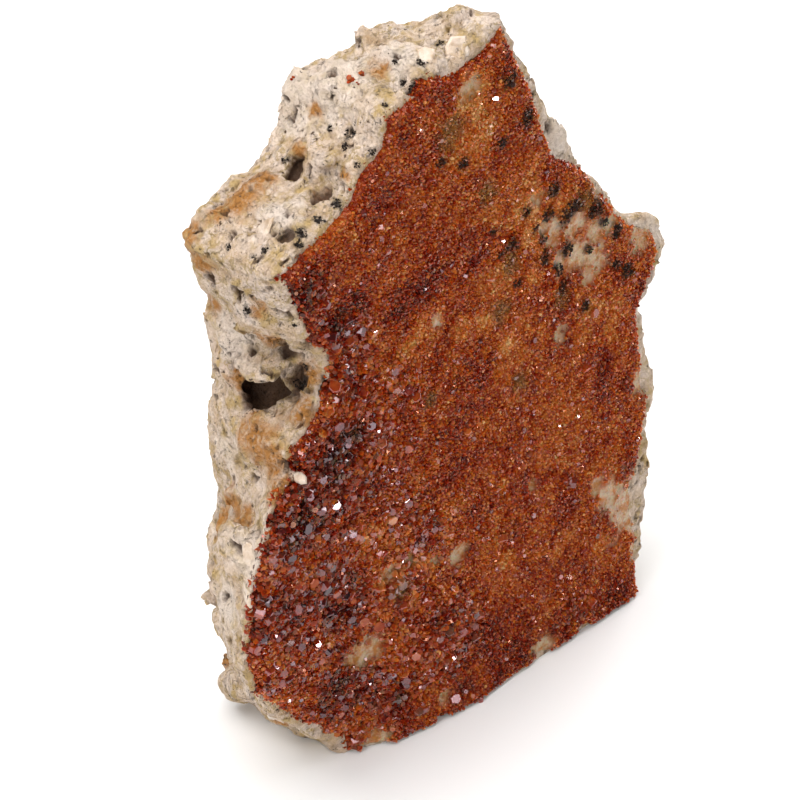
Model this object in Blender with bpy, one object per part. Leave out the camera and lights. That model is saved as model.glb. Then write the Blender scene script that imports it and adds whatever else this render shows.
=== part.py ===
"""Vanadinite on matrix: a block of pale bladed baryte standing on its long edge, one broad face of it under
a druse of small red hexagonal crystals.

Two solids. "matrix" is the rock: a front sheet, a back sheet and a broken side lofted between their rims,
with tabular baryte blades joined on and cavities cut in. "vanadinite_crust" is the druse: a thin sheet that
follows the rock's front, with the larger crystals joined on.

The frame is +Z up, +X along the crystal face and -Y out of it. Sizes below are in millimetres.
"""

import math
import random

import bmesh
import bpy
from mathutils import Matrix, Vector, noise
from mathutils.geometry import delaunay_2d_cdt

MM = 0.001
NOISE_SEED = 6

# The rock's rim, corner by corner, anticlockwise seen from the front. Each row is one break in the edge:
# the front corner (x, z), the back corner (x, y, z) behind it, and how far the crust stops short of the rim.
RIM = (
    # The base, from the lower left corner to the lower right one
    ((1.0, 0.0), (1.5, 19.5, 0.0), 1.6),
    ((6.5, 0.0), (6.5, 20.5, 0.0), 1.5),
    ((11.5, 1.8), (12.0, 21.0, 0.0), 1.0),
    ((15.0, 2.0), (15.5, 21.5, 0.0), 1.0),
    ((19.5, 0.0), (20.0, 22.0, 0.0), 1.4),
    ((28.0, 0.0), (28.5, 22.5, 0.0), 2.6),
    ((38.0, 0.0), (38.0, 22.0, 0.0), 1.6),
    ((48.8, 0.0), (47.5, 20.5, 0.0), 1.2),
    # The right side, upwards
    ((51.6, 1.6), (49.5, 20.0, 2.5), 0.8),
    ((53.3, 7.0), (51.0, 20.5, 8.0), 1.2),
    ((54.7, 16.0), (51.5, 20.0, 17.0), 3.4),
    ((54.3, 23.4), (52.0, 19.0, 24.5), 0.9),
    ((55.9, 28.0), (53.0, 18.5, 29.0), 1.6),
    ((54.6, 36.4), (52.0, 17.5, 38.0), 1.4),
    ((53.5, 41.0), (50.5, 17.0, 43.0), 0.6),
    ((58.8, 47.2), (51.5, 13.0, 44.5), 1.5),
    ((57.2, 52.2), (50.0, 12.0, 47.5), 1.4),
    ((52.2, 53.8), (46.5, 14.5, 51.0), 0.4),
    ((46.9, 60.6), (42.5, 15.0, 57.0), 0.5),
    ((42.2, 66.4), (38.5, 15.0, 63.0), 0.6),
    ((40.2, 71.2), (36.5, 14.5, 68.0), 3.6),
    ((35.0, 76.6), (33.0, 14.0, 73.5), 0.6),
    ((30.4, 86.0), (30.0, 11.0, 81.5), 0.4),
    # The top, from the peak down to the left shoulder
    ((28.2, 90.4), (28.5, 8.0, 87.0), 0.4),
    ((24.4, 88.8), (26.0, 8.5, 88.4), 0.8),
    ((19.4, 87.4), (22.6, 11.0, 88.0), 0.4),
    ((14.6, 88.5), (18.0, 13.0, 87.3), 0.4),
    ((13.2, 87.0), (14.9, 14.0, 86.4), 0.4),
    ((8.2, 85.8), (9.6, 15.0, 85.8), 0.4),
    ((7.8, 82.6), (7.4, 15.0, 82.2), 0.4),
    ((4.2, 80.8), (5.8, 15.5, 79.0), 0.4),
    ((2.5, 77.8), (4.1, 15.5, 76.0), 0.4),
    ((-1.2, 76.0), (0.2, 16.0, 74.8), 0.4),
    ((-5.2, 74.5), (-4.8, 16.0, 72.8), 0.4),
    # The left side, downwards
    ((-9.4, 72.8), (-6.9, 16.0, 70.6), 0.4),
    ((-6.9, 68.2), (-7.2, 16.0, 66.4), 0.4),
    ((-4.8, 62.8), (-5.6, 16.5, 60.6), 0.4),
    ((-1.6, 59.4), (-5.0, 16.5, 56.5), 0.4),
    ((-1.3, 56.0), (-4.6, 16.5, 53.0), 0.4),
    ((-3.3, 53.6), (-4.3, 16.5, 49.6), 0.4),
    ((-8.8, 49.6), (-4.0, 17.0, 44.0), 0.5),
    ((-7.9, 46.4), (-3.4, 17.5, 39.0), 0.6),
    ((-10.8, 45.2), (-2.9, 17.5, 35.0), 0.4),
    ((-13.6, 39.2), (-2.2, 18.0, 29.5), 0.4),
    ((-15.1, 34.2), (-3.6, 18.0, 26.0), 0.4),
    ((-15.6, 27.6), (-3.5, 18.5, 21.0), 0.4),
    ((-16.0, 22.6), (-1.2, 18.5, 14.5), 0.4),
    ((-14.4, 17.8), (0.2, 19.0, 9.5), 0.5),
    ((-7.4, 8.8), (0.9, 19.5, 4.5), 0.8),
)

# The front face: it leans out towards its foot below a crease, turns back at the lower left corner and
# ends in a bare toe along the ground.
CREASE_Z = 58.0
FOOT_LEAN = 4.2
CORNER_SETBACK = 5.1
CORNER_X = 19.0
CORNER_WIDTH = 18.0
CORNER_TOP = 40.0
TOE_REACH = 1.4
TOE_HEIGHT = 2.0

# The broken rock
RIM_STEP = 2.6
RIM_JAG = 0.28
SIDE_BANDS = 7
SIDE_BULGE = 0.9
SHEET_SPACING = 6.0
BACK_SPACING = 5.0
BACK_DOME = 3.0
BACK_DOME_REACH = 15.0
LUMP_SIZE = 9.0
LUMP_HEIGHT = 1.4
GRAIN_SIZE = 2.7
GRAIN_HEIGHT = 1.9
GRAIN_OFFSET = Vector((7.0, 3.0, 1.0))
SOLE_DEPTH = 1.2
SOLE_HEIGHT = 1.5

# The crust and its crystals
CRUST_GAP = 0.3
CRUST_THICKNESS = 0.9
CRUST_SPACING = 4.2
CRUST_RELIEF = 0.7
CRYSTAL_SPACING = 6.1
CRYSTAL_RADIUS = (0.75, 1.35)
CRYSTAL_HEIGHT = (0.7, 1.3)
CRYSTAL_TILT = math.radians(38)
CRYSTAL_CLEARANCE = 1.7
CRYSTAL_ROOT = 0.5
COARSE_REACH = 60.0

# Tabular baryte blades on the broken sides
BLADE_COUNT = 42
BLADE_LENGTH = (3.0, 6.5)
BLADE_WIDTH = (2.0, 4.2)
BLADE_THICKNESS = (0.8, 1.5)
BLADE_STAND_OUT = (0.2, 0.9)
BLADE_FAN_SIZE = 14.0
BLADE_LOWEST = 5.0

# The larger blades of the upper edge and the ledge: centre, the way the flat side faces, then length,
# width and thickness
LARGE_BLADES = (
    ((23.5, 4.2, 87.8), (-0.45, -0.55, 0.7), 5.4, 4.4, 2.0),
    ((17.8, 3.6, 87.2), (-0.6, -0.3, 0.74), 5.0, 3.6, 1.8),
    ((39.0, 3.6, 70.8), (0.7, -0.1, 0.7), 6.5, 4.6, 2.2),
    ((-5.0, 6.0, 72.3), (-0.35, -0.1, 0.93), 7.5, 5.0, 1.8),
    ((-4.6, 6.6, 56.8), (-0.35, 0.0, 0.94), 6.6, 6.4, 1.4),
    ((-13.0, 3.0, 36.5), (-0.95, -0.2, 0.2), 8.0, 4.6, 1.6),
    ((0.2, 15.0, 4.6), (-0.6, -0.5, 0.3), 5.0, 4.6, 2.6),
)

# Cavities cut in the broken sides: centre, then the half-sizes along X, Y and Z
CAVITIES = (
    ((-4.2, 6.8, 52.4), (2.8, 3.4, 2.5)),
    ((-8.0, 9.0, 42.5), (2.6, 2.6, 3.0)),
    ((-4.0, 4.0, 60.2), (1.6, 1.5, 1.3)),
    ((-8.2, 7.0, 67.5), (1.2, 1.2, 1.4)),
    ((2.6, 8.4, 78.0), (1.7, 1.8, 1.6)),
    ((13.6, 2.0, 87.6), (2.2, 0.8, 1.2)),
    ((-4.6, 2.4, 75.4), (1.4, 1.1, 1.1)),
    ((1.0, 2.8, 78.0), (1.1, 1.1, 1.0)),
    ((53.0, 8.0, 43.0), (2.6, 2.8, 2.4)),
    ((53.0, 10.0, 14.0), (2.4, 3.4, 3.0)),
    ((45.5, 7.0, 60.5), (2.4, 2.6, 2.0)),
    ((10.0, 22.5, 60.0), (4.2, 2.4, 3.4)),
    ((31.0, 24.5, 30.0), (5.0, 2.6, 3.6)),
    ((24.0, 20.0, 74.0), (3.0, 2.4, 2.6)),
    ((42.0, 23.5, 12.0), (3.4, 2.4, 2.8)),
)

MATRIX_COLOUR = (0.72, 0.66, 0.57, 1.0)
CRUST_COLOUR = (0.33, 0.045, 0.012, 1.0)


def clamp(value):
    return min(1.0, max(0.0, value))


def front_y(x, z):
    """Depth of the rock's front face, before the crust, at a point of it."""
    lean = -FOOT_LEAN * clamp(1 - z / CREASE_Z)
    across = clamp((CORNER_X - x) / CORNER_WIDTH)
    toe = TOE_REACH * clamp(1 - z / TOE_HEIGHT)
    return lean + CORNER_SETBACK * across**2 * clamp(1 - z / CORNER_TOP) - toe


def subdivided_rim():
    """The rim's front points, back points and crust insets, with jagged points added between the corners."""
    chance = random.Random(4)
    fronts, backs, insets = [], [], []
    for i, (front, back, inset) in enumerate(RIM):
        next_front, next_back, next_inset = RIM[(i + 1) % len(RIM)]
        start, end = Vector(front), Vector(next_front)
        steps = max(1, round((end - start).length / RIM_STEP))
        across = Vector((end.y - start.y, start.x - end.x)).normalized()
        for step in range(steps):
            t = step / steps
            jag = 0.0 if step == 0 else chance.uniform(-RIM_JAG, RIM_JAG)
            x, z = start.lerp(end, t) + across * jag
            fronts.append(Vector((x, front_y(x, z), z)))
            backs.append(Vector(back).lerp(Vector(next_back), t))
            insets.append(inset + (next_inset - inset) * t)
    return fronts, backs, insets


def outward(points):
    """Unit vector out of the outline, in the XZ plane, at each of its points."""
    count = len(points)
    found = []
    for i in range(count):
        along = points[(i + 1) % count] - points[i - 1]
        found.append(Vector((along.z, 0.0, -along.x)).normalized())
    return found


def crust_outline(fronts, insets):
    """The crust's edge: the rim drawn in by each point's inset."""
    normals = outward(fronts)
    return [point - normal * inset for point, normal, inset in zip(fronts, normals, insets)]


def inside(x, z, outline):
    """Whether a point lies inside a closed outline of the XZ plane."""
    found = False
    for a, b in zip(outline, outline[1:] + outline[:1]):
        if (a.z > z) != (b.z > z) and x < a.x + (z - a.z) * (b.x - a.x) / (b.z - a.z):
            found = not found
    return found


def edge_distance(x, z, outline):
    """Distance from a point to the nearest point of an outline, in the XZ plane."""
    here = Vector((x, z))
    nearest = math.inf
    for a, b in zip(outline, outline[1:] + outline[:1]):
        start, along = Vector((a.x, a.z)), Vector((b.x - a.x, b.z - a.z))
        t = clamp((here - start).dot(along) / max(along.length_squared, 1e-9))
        nearest = min(nearest, (start + along * t - here).length)
    return nearest


def scattered(outline, spacing, margin, seed):
    """Points about one spacing apart inside an outline, each pushed a little off a triangular grid."""
    chance = random.Random(seed)
    low_x, high_x = min(p.x for p in outline), max(p.x for p in outline)
    low_z, high_z = min(p.z for p in outline), max(p.z for p in outline)
    row_height = spacing * math.sqrt(3) / 2
    found = []
    for row in range(int((high_z - low_z) / row_height) + 1):
        for column in range(int((high_x - low_x) / spacing) + 1):
            x = low_x + (column + 0.5 * (row % 2)) * spacing + chance.uniform(-0.3, 0.3) * spacing
            z = low_z + row * row_height + chance.uniform(-0.3, 0.3) * spacing
            if inside(x, z, outline) and edge_distance(x, z, outline) > margin:
                found.append((x, z))
    return found


def triangulated(outlines, inner):
    """Delaunay triangles over nested outlines and inner points, as (x, z) points and index triples."""
    flat, edges = [], []
    for outline in outlines:
        first = len(flat)
        flat += [Vector((p.x, p.z)) for p in outline]
        edges += [(first + i, first + (i + 1) % len(outline)) for i in range(len(outline))]
    flat += [Vector(p) for p in inner]
    points, _, faces, _, _, _ = delaunay_2d_cdt(flat, edges, [], 1, 1e-6)
    if len(points) != len(flat):
        raise ValueError("two points of a sheet fell together")
    return points, faces


def new_object(name, mesh_maker, collection=None):
    """An object whose mesh, made in millimetres by mesh_maker(bmesh), is stored in metres."""
    mesh = bpy.data.meshes.new(name)
    work = bmesh.new()
    mesh_maker(work)
    bmesh.ops.recalc_face_normals(work, faces=work.faces)
    bmesh.ops.scale(work, vec=(MM, MM, MM), verts=work.verts)
    work.to_mesh(mesh)
    work.free()
    made = bpy.data.objects.new(name, mesh)
    (collection or bpy.context.scene.collection).objects.link(made)
    return made


def cutter_collection(name):
    """A collection for solids that a Boolean joins on or cuts away."""
    made = bpy.data.collections.new(name)
    bpy.context.scene.collection.children.link(made)
    return made


def as_cutter(obj):
    obj.hide_render = True
    obj.display_type = "WIRE"
    return obj


def boolean(obj, operation, name, cutter=None, collection=None):
    modifier = obj.modifiers.new(name, "BOOLEAN")
    modifier.operation = operation
    modifier.solver = "EXACT"
    if collection:
        modifier.operand_type = "COLLECTION"
        modifier.collection = collection
    else:
        modifier.object = cutter
    return modifier


def material(name, colour, roughness):
    made = bpy.data.materials.new(name)
    made.use_nodes = True
    shader = made.node_tree.nodes["Principled BSDF"]
    shader.inputs["Base Color"].default_value = colour
    shader.inputs["Roughness"].default_value = roughness
    shader.inputs["Metallic"].default_value = 0.0
    return made


def rock_push(point, normal):
    """How far the broken surface stands out of its smooth form at a point."""
    lumps = noise.noise(point / LUMP_SIZE) * LUMP_HEIGHT
    grain = noise.noise(point / GRAIN_SIZE + GRAIN_OFFSET) * GRAIN_HEIGHT
    return normal * (lumps + grain)


def rock_mesh(work, fronts, backs, crust_edge, inner):
    """The rock's closed surface: front sheet, broken side and domed back, with its foot below Z = 0."""
    count = len(fronts)
    front_points, front_faces = triangulated([fronts, crust_edge], inner)
    front_verts = [work.verts.new((x, front_y(x, z), z)) for x, z in front_points]
    for face in front_faces:
        work.faces.new([front_verts[i] for i in face])

    normals = outward(fronts)
    rings = [front_verts[:count]]
    for band in range(1, SIDE_BANDS + 1):
        t = band / SIDE_BANDS
        ring = []
        for front, back, normal in zip(fronts, backs, normals):
            smooth = front.lerp(back, t) + normal * SIDE_BULGE * 4 * t * (1 - t)
            ring.append(work.verts.new(smooth + rock_push(smooth, normal)))
        rings.append(ring)
    for near, far in zip(rings, rings[1:]):
        for i in range(count):
            j = (i + 1) % count
            work.faces.new((near[i], near[j], far[j], far[i]))

    back_inner = scattered(backs, BACK_SPACING, 0.6 * BACK_SPACING, seed=9)
    back_points, back_faces = triangulated([backs], back_inner)
    back_verts = list(rings[-1])
    for x, z in back_points[count:]:
        weights = [((p.x - x) ** 2 + (p.z - z) ** 2) ** -1.5 for p in backs]
        level = sum(w * p.y for w, p in zip(weights, backs)) / sum(weights)
        dome = BACK_DOME * math.sqrt(clamp(edge_distance(x, z, backs) / BACK_DOME_REACH))
        smooth = Vector((x, level + dome, z))
        back_verts.append(work.verts.new(smooth + rock_push(smooth, Vector((0, 1, 0)))))
    for face in back_faces:
        work.faces.new([back_verts[i] for i in face])

    for vert in work.verts:
        vert.co.z -= SOLE_DEPTH * clamp(1 - vert.co.z / SOLE_HEIGHT)
    bmesh.ops.triangulate(work, faces=[f for f in work.faces if len(f.verts) > 3])


def blade_mesh(work, length, width, thickness):
    """A tabular crystal: a plate with wedge-shaped ends and chamfered edges."""
    outline = ((-0.5, 0.0), (-0.3, -0.5), (0.3, -0.5), (0.5, 0.0), (0.3, 0.5), (-0.3, 0.5))
    layers = ((-0.5, 0.86), (0.0, 1.0), (0.5, 0.86))
    rings = []
    for height, shrink in layers:
        ring = [
            work.verts.new((x * length * shrink, y * width * shrink, height * thickness)) for x, y in outline
        ]
        rings.append(ring)
    for low, high in zip(rings, rings[1:]):
        for i in range(len(outline)):
            j = (i + 1) % len(outline)
            work.faces.new((low[i], low[j], high[j], high[i]))
    work.faces.new(list(reversed(rings[0])))
    work.faces.new(rings[-1])


def facing(direction, spin=0.0):
    """The rotation that turns +Z to a direction, after a spin about it."""
    return Vector(direction).to_track_quat("Z", "Y").to_matrix().to_4x4() @ Matrix.Rotation(spin, 4, "Z")


def placed(obj, centre, rotation):
    obj.matrix_world = Matrix.Translation(Vector(centre) * MM) @ rotation
    return obj


def make_blades(fronts, backs):
    """Baryte blades standing part out of the broken sides, in loose parallel groups."""
    chance = random.Random(21)
    collection = cutter_collection("baryte_blades")
    normals = outward(fronts)
    for index in range(BLADE_COUNT):
        i = int((index + chance.random()) / BLADE_COUNT * len(fronts)) % len(fronts)
        t = chance.uniform(0.2, 0.92)
        centre = fronts[i].lerp(backs[i], t) + normals[i] * chance.uniform(*BLADE_STAND_OUT)
        if centre.z < BLADE_LOWEST:
            continue
        fan = noise.noise_vector(centre / BLADE_FAN_SIZE)
        direction = (normals[i] * 0.7 + fan * 1.6 + Vector((0, 0.2, 0))).normalized()
        size = [chance.uniform(*limits) for limits in (BLADE_LENGTH, BLADE_WIDTH, BLADE_THICKNESS)]
        blade = new_object(f"blade_{index}", lambda work, s=size: blade_mesh(work, *s), collection)
        placed(as_cutter(blade), centre, facing(direction, chance.uniform(0, math.pi)))
    for index, (centre, direction, *size) in enumerate(LARGE_BLADES):
        blade = new_object(f"large_blade_{index}", lambda work, s=size: blade_mesh(work, *s), collection)
        placed(as_cutter(blade), centre, facing(direction, 0.4 * index))
    return collection


def cavity_mesh(work, half_sizes, seed):
    """A pocket with rough flat walls: a low icosphere, stretched, each corner pushed in or out."""
    chance = random.Random(seed)
    bmesh.ops.create_icosphere(work, subdivisions=1, radius=1.0)
    for vert in work.verts:
        vert.co = Vector(c * h for c, h in zip(vert.co, half_sizes)) * chance.uniform(0.82, 1.2)


def make_cavities():
    collection = cutter_collection("cavities")
    for index, (centre, half_sizes) in enumerate(CAVITIES):
        pocket = new_object(
            f"cavity_{index}", lambda work, h=half_sizes, i=index: cavity_mesh(work, h, 30 + i), collection
        )
        placed(as_cutter(pocket), centre, Matrix.Identity(4))
    return collection


def ground_mesh(work):
    """A block under Z = 0, wider than the rock, that trims its foot flat."""
    side = 200.0
    bmesh.ops.create_cube(work, size=side)
    bmesh.ops.translate(work, vec=(0.0, 0.0, -side / 2), verts=work.verts)


def make_matrix(fronts, backs, crust_edge, inner):
    rock = new_object("matrix", lambda work: rock_mesh(work, fronts, backs, crust_edge, inner))
    boolean(rock, "UNION", "join blades", collection=make_blades(fronts, backs))
    boolean(rock, "DIFFERENCE", "cut cavities", collection=make_cavities())
    ground = as_cutter(new_object("ground", ground_mesh))
    boolean(rock, "DIFFERENCE", "trim foot", cutter=ground)
    rock.data.materials.append(material("baryte_matrix", MATRIX_COLOUR, 0.85))
    return rock


def crust_mesh(work, crust_edge, inner):
    """The druse's sheet: its back follows the rock's front triangles a gap away, its front is lumpy."""
    count = len(crust_edge)
    back_points, back_faces = triangulated([crust_edge], inner)
    back = [work.verts.new((x, front_y(x, z) - CRUST_GAP, z)) for x, z in back_points]
    for face in back_faces:
        work.faces.new([back[i] for i in face])
    fine = scattered(crust_edge, CRUST_SPACING, 0.5 * CRUST_SPACING, seed=5)
    front_points, front_faces = triangulated([crust_edge], fine)
    chance = random.Random(17)
    front = []
    for x, z in front_points:
        relief = chance.uniform(0.0, CRUST_RELIEF)
        front.append(work.verts.new((x, front_y(x, z) - CRUST_GAP - CRUST_THICKNESS - relief, z)))
    for face in front_faces:
        work.faces.new([front[i] for i in reversed(face)])
    for i in range(count):
        j = (i + 1) % count
        work.faces.new((back[i], back[j], front[j], front[i]))


def crystal_mesh(work, radius, height):
    """A short flat-ended hexagonal prism whose root reaches down into the sheet."""
    angles = [math.tau * k / 6 for k in range(6)]
    low, high = (
        [work.verts.new((radius * math.cos(a), radius * math.sin(a), z)) for a in angles]
        for z in (-CRYSTAL_ROOT, height)
    )
    for k in range(6):
        work.faces.new((low[k], low[(k + 1) % 6], high[(k + 1) % 6], high[k]))
    work.faces.new(list(reversed(low)))
    work.faces.new(high)


def make_crystals(crust_edge):
    """The larger crystals of the druse, the biggest towards its left edge."""
    chance = random.Random(12)
    collection = cutter_collection("vanadinite_crystals")
    spots = scattered(crust_edge, CRYSTAL_SPACING, CRYSTAL_CLEARANCE, seed=8)
    for index, (x, z) in enumerate(spots):
        coarse = clamp((COARSE_REACH - x) / COARSE_REACH) * chance.uniform(0.5, 1.0)
        radius = CRYSTAL_RADIUS[0] + (CRYSTAL_RADIUS[1] - CRYSTAL_RADIUS[0]) * coarse
        height = chance.uniform(*CRYSTAL_HEIGHT)
        crystal = new_object(
            f"crystal_{index}", lambda work, r=radius, h=height: crystal_mesh(work, r, h), collection
        )
        tilt = chance.uniform(0, CRYSTAL_TILT)
        turn = chance.uniform(0, math.tau)
        direction = (math.sin(tilt) * math.cos(turn), -math.cos(tilt), math.sin(tilt) * math.sin(turn))
        centre = (x, front_y(x, z) - CRUST_GAP - CRUST_THICKNESS - 0.5 * CRUST_RELIEF, z)
        placed(as_cutter(crystal), centre, facing(direction, chance.uniform(0, math.pi)))
    return collection


def make_crust(crust_edge, inner):
    crust = new_object("vanadinite_crust", lambda work: crust_mesh(work, crust_edge, inner))
    boolean(crust, "UNION", "join crystals", collection=make_crystals(crust_edge))
    crust.data.materials.append(material("vanadinite", CRUST_COLOUR, 0.25))
    return crust


def stand_on_origin(solids):
    """Moves the solids so that the middle of their shared box's underside is at the origin."""
    bpy.context.view_layer.update()
    graph = bpy.context.evaluated_depsgraph_get()
    corners = []
    for solid in solids:
        shape = solid.evaluated_get(graph)
        corners += [shape.matrix_world @ Vector(corner) for corner in shape.bound_box]
    low = Vector(min(c[axis] for c in corners) for axis in range(3))
    high = Vector(max(c[axis] for c in corners) for axis in range(3))
    shift = Vector((-(low.x + high.x) / 2, -(low.y + high.y) / 2, -low.z))
    for obj in bpy.data.objects:
        obj.location += shift
    print("moved by", [round(c / MM, 3) for c in shift], "size", [round(c / MM, 2) for c in high - low])


def main():
    for obj in list(bpy.data.objects):
        bpy.data.objects.remove(obj)
    noise.seed_set(NOISE_SEED)
    fronts, backs, insets = subdivided_rim()
    crust_edge = crust_outline(fronts, insets)
    inner = scattered(crust_edge, SHEET_SPACING, 0.5 * SHEET_SPACING, seed=3)
    solids = [make_matrix(fronts, backs, crust_edge, inner), make_crust(crust_edge, inner)]
    stand_on_origin(solids)


main()
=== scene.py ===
"""Looks of the vanadinite specimen: a pale baryte rock, its broken blades and pits, and the red druse on it.

Lengths are in millimetres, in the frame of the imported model, until a mesh is stored.
"""

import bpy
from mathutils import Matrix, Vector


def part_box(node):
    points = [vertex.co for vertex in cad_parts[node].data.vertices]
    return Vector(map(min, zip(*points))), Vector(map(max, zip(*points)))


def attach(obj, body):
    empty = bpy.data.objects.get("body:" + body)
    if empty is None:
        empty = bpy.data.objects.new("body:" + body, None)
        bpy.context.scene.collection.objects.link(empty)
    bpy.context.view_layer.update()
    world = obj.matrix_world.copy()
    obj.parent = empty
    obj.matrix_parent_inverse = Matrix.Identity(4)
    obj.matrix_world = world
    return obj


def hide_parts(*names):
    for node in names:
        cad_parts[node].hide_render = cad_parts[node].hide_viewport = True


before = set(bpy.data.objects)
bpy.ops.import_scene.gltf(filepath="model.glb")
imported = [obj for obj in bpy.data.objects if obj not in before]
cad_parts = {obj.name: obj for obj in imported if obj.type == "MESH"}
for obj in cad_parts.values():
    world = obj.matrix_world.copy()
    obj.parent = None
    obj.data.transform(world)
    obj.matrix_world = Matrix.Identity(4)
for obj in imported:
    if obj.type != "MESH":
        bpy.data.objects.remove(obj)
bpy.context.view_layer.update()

import math

import bpy
import numpy as np
from mathutils import Matrix, Vector, noise
from mathutils.bvhtree import BVHTree
from mathutils.kdtree import KDTree

MM = 0.001
BODY = "root"
TINY = 1e-9
UPRIGHT = 0.8
SLOTS = {"matrix": "baryte_matrix", "vanadinite_crust": "vanadinite"}

# The photograph's camera
PHOTO_SIDE = 800
AZIMUTH = math.radians(-47.0)
ELEVATION = math.radians(33.5)
FOCAL_LENGTH = 3683
SENSOR = 36.0
CAMERA_PLACE = (-272.8, -253.9, 284.5)
CLIP_START, CLIP_END = 0.01, 20.0

# Places on the specimen, as the photograph's pixels across and down, with their radius in millimetres
BARE_PATCHES = (
    (471, 90, 1.6), (440, 322, 0.9), (538, 199, 1.2), (556, 232, 1.9), (577, 226, 1.8), (580, 256, 2.2),
    (599, 230, 1.7), (562, 262, 1.5), (545, 228, 1.2), (598, 260, 1.8), (590, 277, 1.2), (612, 225, 1.3),
    (600, 192, 1.1), (560, 335, 1.1), (459, 554, 1.5), (367, 653, 2.4), (532, 487, 0.8), (633, 505, 4.0),
    (614, 495, 2.6), (598, 487, 1.3), (640, 522, 1.8), (640, 240, 1.7), (545, 648, 1.8), (645, 380, 2.2),
    (380, 738, 1.3), (445, 698, 0.9), (640, 545, 1.8), (650, 225, 1.6), (372, 745, 1.2), (412, 557, 1.0),
    (640, 470, 1.2), (389, 573, 1.3), (436, 562, 0.8), (350, 660, 0.9),
)
THIN_PATCHES = (
    (440, 326, 2.0), (462, 330, 1.6), (420, 331, 1.4), (485, 325, 1.5), (505, 345, 1.4), (580, 339, 1.9),
    (545, 330, 1.6), (388, 572, 1.8), (430, 560, 1.8), (610, 330, 1.6), (410, 345, 1.2), (525, 210, 2.2),
    (530, 235, 1.8), (535, 275, 1.6), (620, 300, 1.8), (560, 545, 1.6), (505, 560, 1.4), (375, 335, 1.3),
    (470, 95, 2.6), (330, 640, 1.0), (410, 600, 1.3), (590, 310, 2.0), (450, 590, 1.2), (600, 545, 1.6),
)
OLIVE_PATCHES = (
    (451, 128, 2.0), (448, 143, 1.6), (487, 194, 1.6), (500, 310, 1.6), (520, 380, 1.4), (400, 590, 1.4),
    (510, 265, 1.6), (585, 200, 2.2), (560, 300, 1.4), (430, 400, 1.2),
)
COARSE_PATCHES = (
    (300, 600, 13.0), (345, 450, 8.0), (345, 360, 4.5), (312, 300, 2.5), (370, 690, 9.0), (400, 560, 8.0),
    (320, 520, 9.0), (390, 400, 4.0), (440, 640, 6.0), (575, 612, 2.2),
)
STAIN_PATCHES = (
    (590, 178, 1.6), (606, 200, 1.4), (556, 152, 1.0), (508, 42, 1.5), (514, 58, 1.5), (522, 78, 1.5),
    (531, 98, 1.2), (655, 262, 1.2), (270, 340, 2.0), (300, 410, 1.8), (240, 380, 1.6), (222, 520, 2.4),
    (215, 300, 1.6), (345, 175, 0.8), (380, 70, 1.2), (315, 110, 1.0), (240, 195, 2.6), (222, 210, 1.8),
    (200, 262, 2.0), (252, 440, 3.4), (268, 455, 2.4), (280, 490, 2.2), (232, 505, 2.4), (262, 180, 1.8),
    (283, 725, 1.4), (300, 150, 0.9), (310, 372, 1.6), (260, 310, 1.0), (245, 520, 2.0), (275, 470, 1.6),
    (190, 235, 1.6), (322, 195, 0.8), (225, 655, 2.0),
)
WHITE_PATCHES = (
    (562, 132, 4.0), (655, 240, 3.0), (645, 385, 2.5), (280, 215, 2.4), (330, 90, 4.0), (225, 450, 2.0),
    (250, 560, 3.0), (300, 100, 4.0), (235, 340, 3.0), (345, 65, 3.0), (400, 60, 2.5), (228, 600, 3.0),
)
SOOT_PATCHES = (
    (336, 204, 0.7), (319, 220, 0.6), (302, 233, 0.8), (299, 244, 0.6), (229, 247, 0.5), (264, 250, 0.5),
    (253, 258, 0.3), (306, 367, 0.6), (350, 135, 0.8), (345, 147, 0.6), (414, 88, 0.9), (404, 84, 0.5),
    (295, 325, 0.3), (330, 128, 0.4), (385, 105, 0.4), (283, 235, 0.4), (247, 310, 0.5), (285, 160, 0.5),
    (470, 62, 0.5), (440, 44, 0.6), (421, 62, 0.5), (395, 62, 0.4), (372, 152, 0.5), (357, 165, 0.4),
    (300, 384, 0.8),
)
SPECK_PATCHES = (
    (510, 80, 1.2), (528, 117, 1.3), (502, 143, 0.9), (553, 190, 1.1), (570, 213, 1.8), (548, 216, 1.1),
    (526, 212, 0.9), (596, 209, 1.5), (512, 245, 1.2), (544, 258, 1.2), (543, 240, 0.7), (568, 250, 1.1),
    (558, 270, 0.9), (563, 287, 1.0), (628, 270, 1.2), (517, 283, 0.7), (464, 163, 0.9), (441, 163, 0.8),
    (584, 306, 1.0), (617, 231, 1.0), (510, 36, 1.0), (352, 432, 1.1), (322, 520, 0.9), (577, 205, 1.1),
    (536, 228, 0.7), (616, 265, 0.9), (605, 222, 0.8), (590, 250, 0.7), (500, 255, 0.6), (493, 232, 0.6),
)

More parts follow.
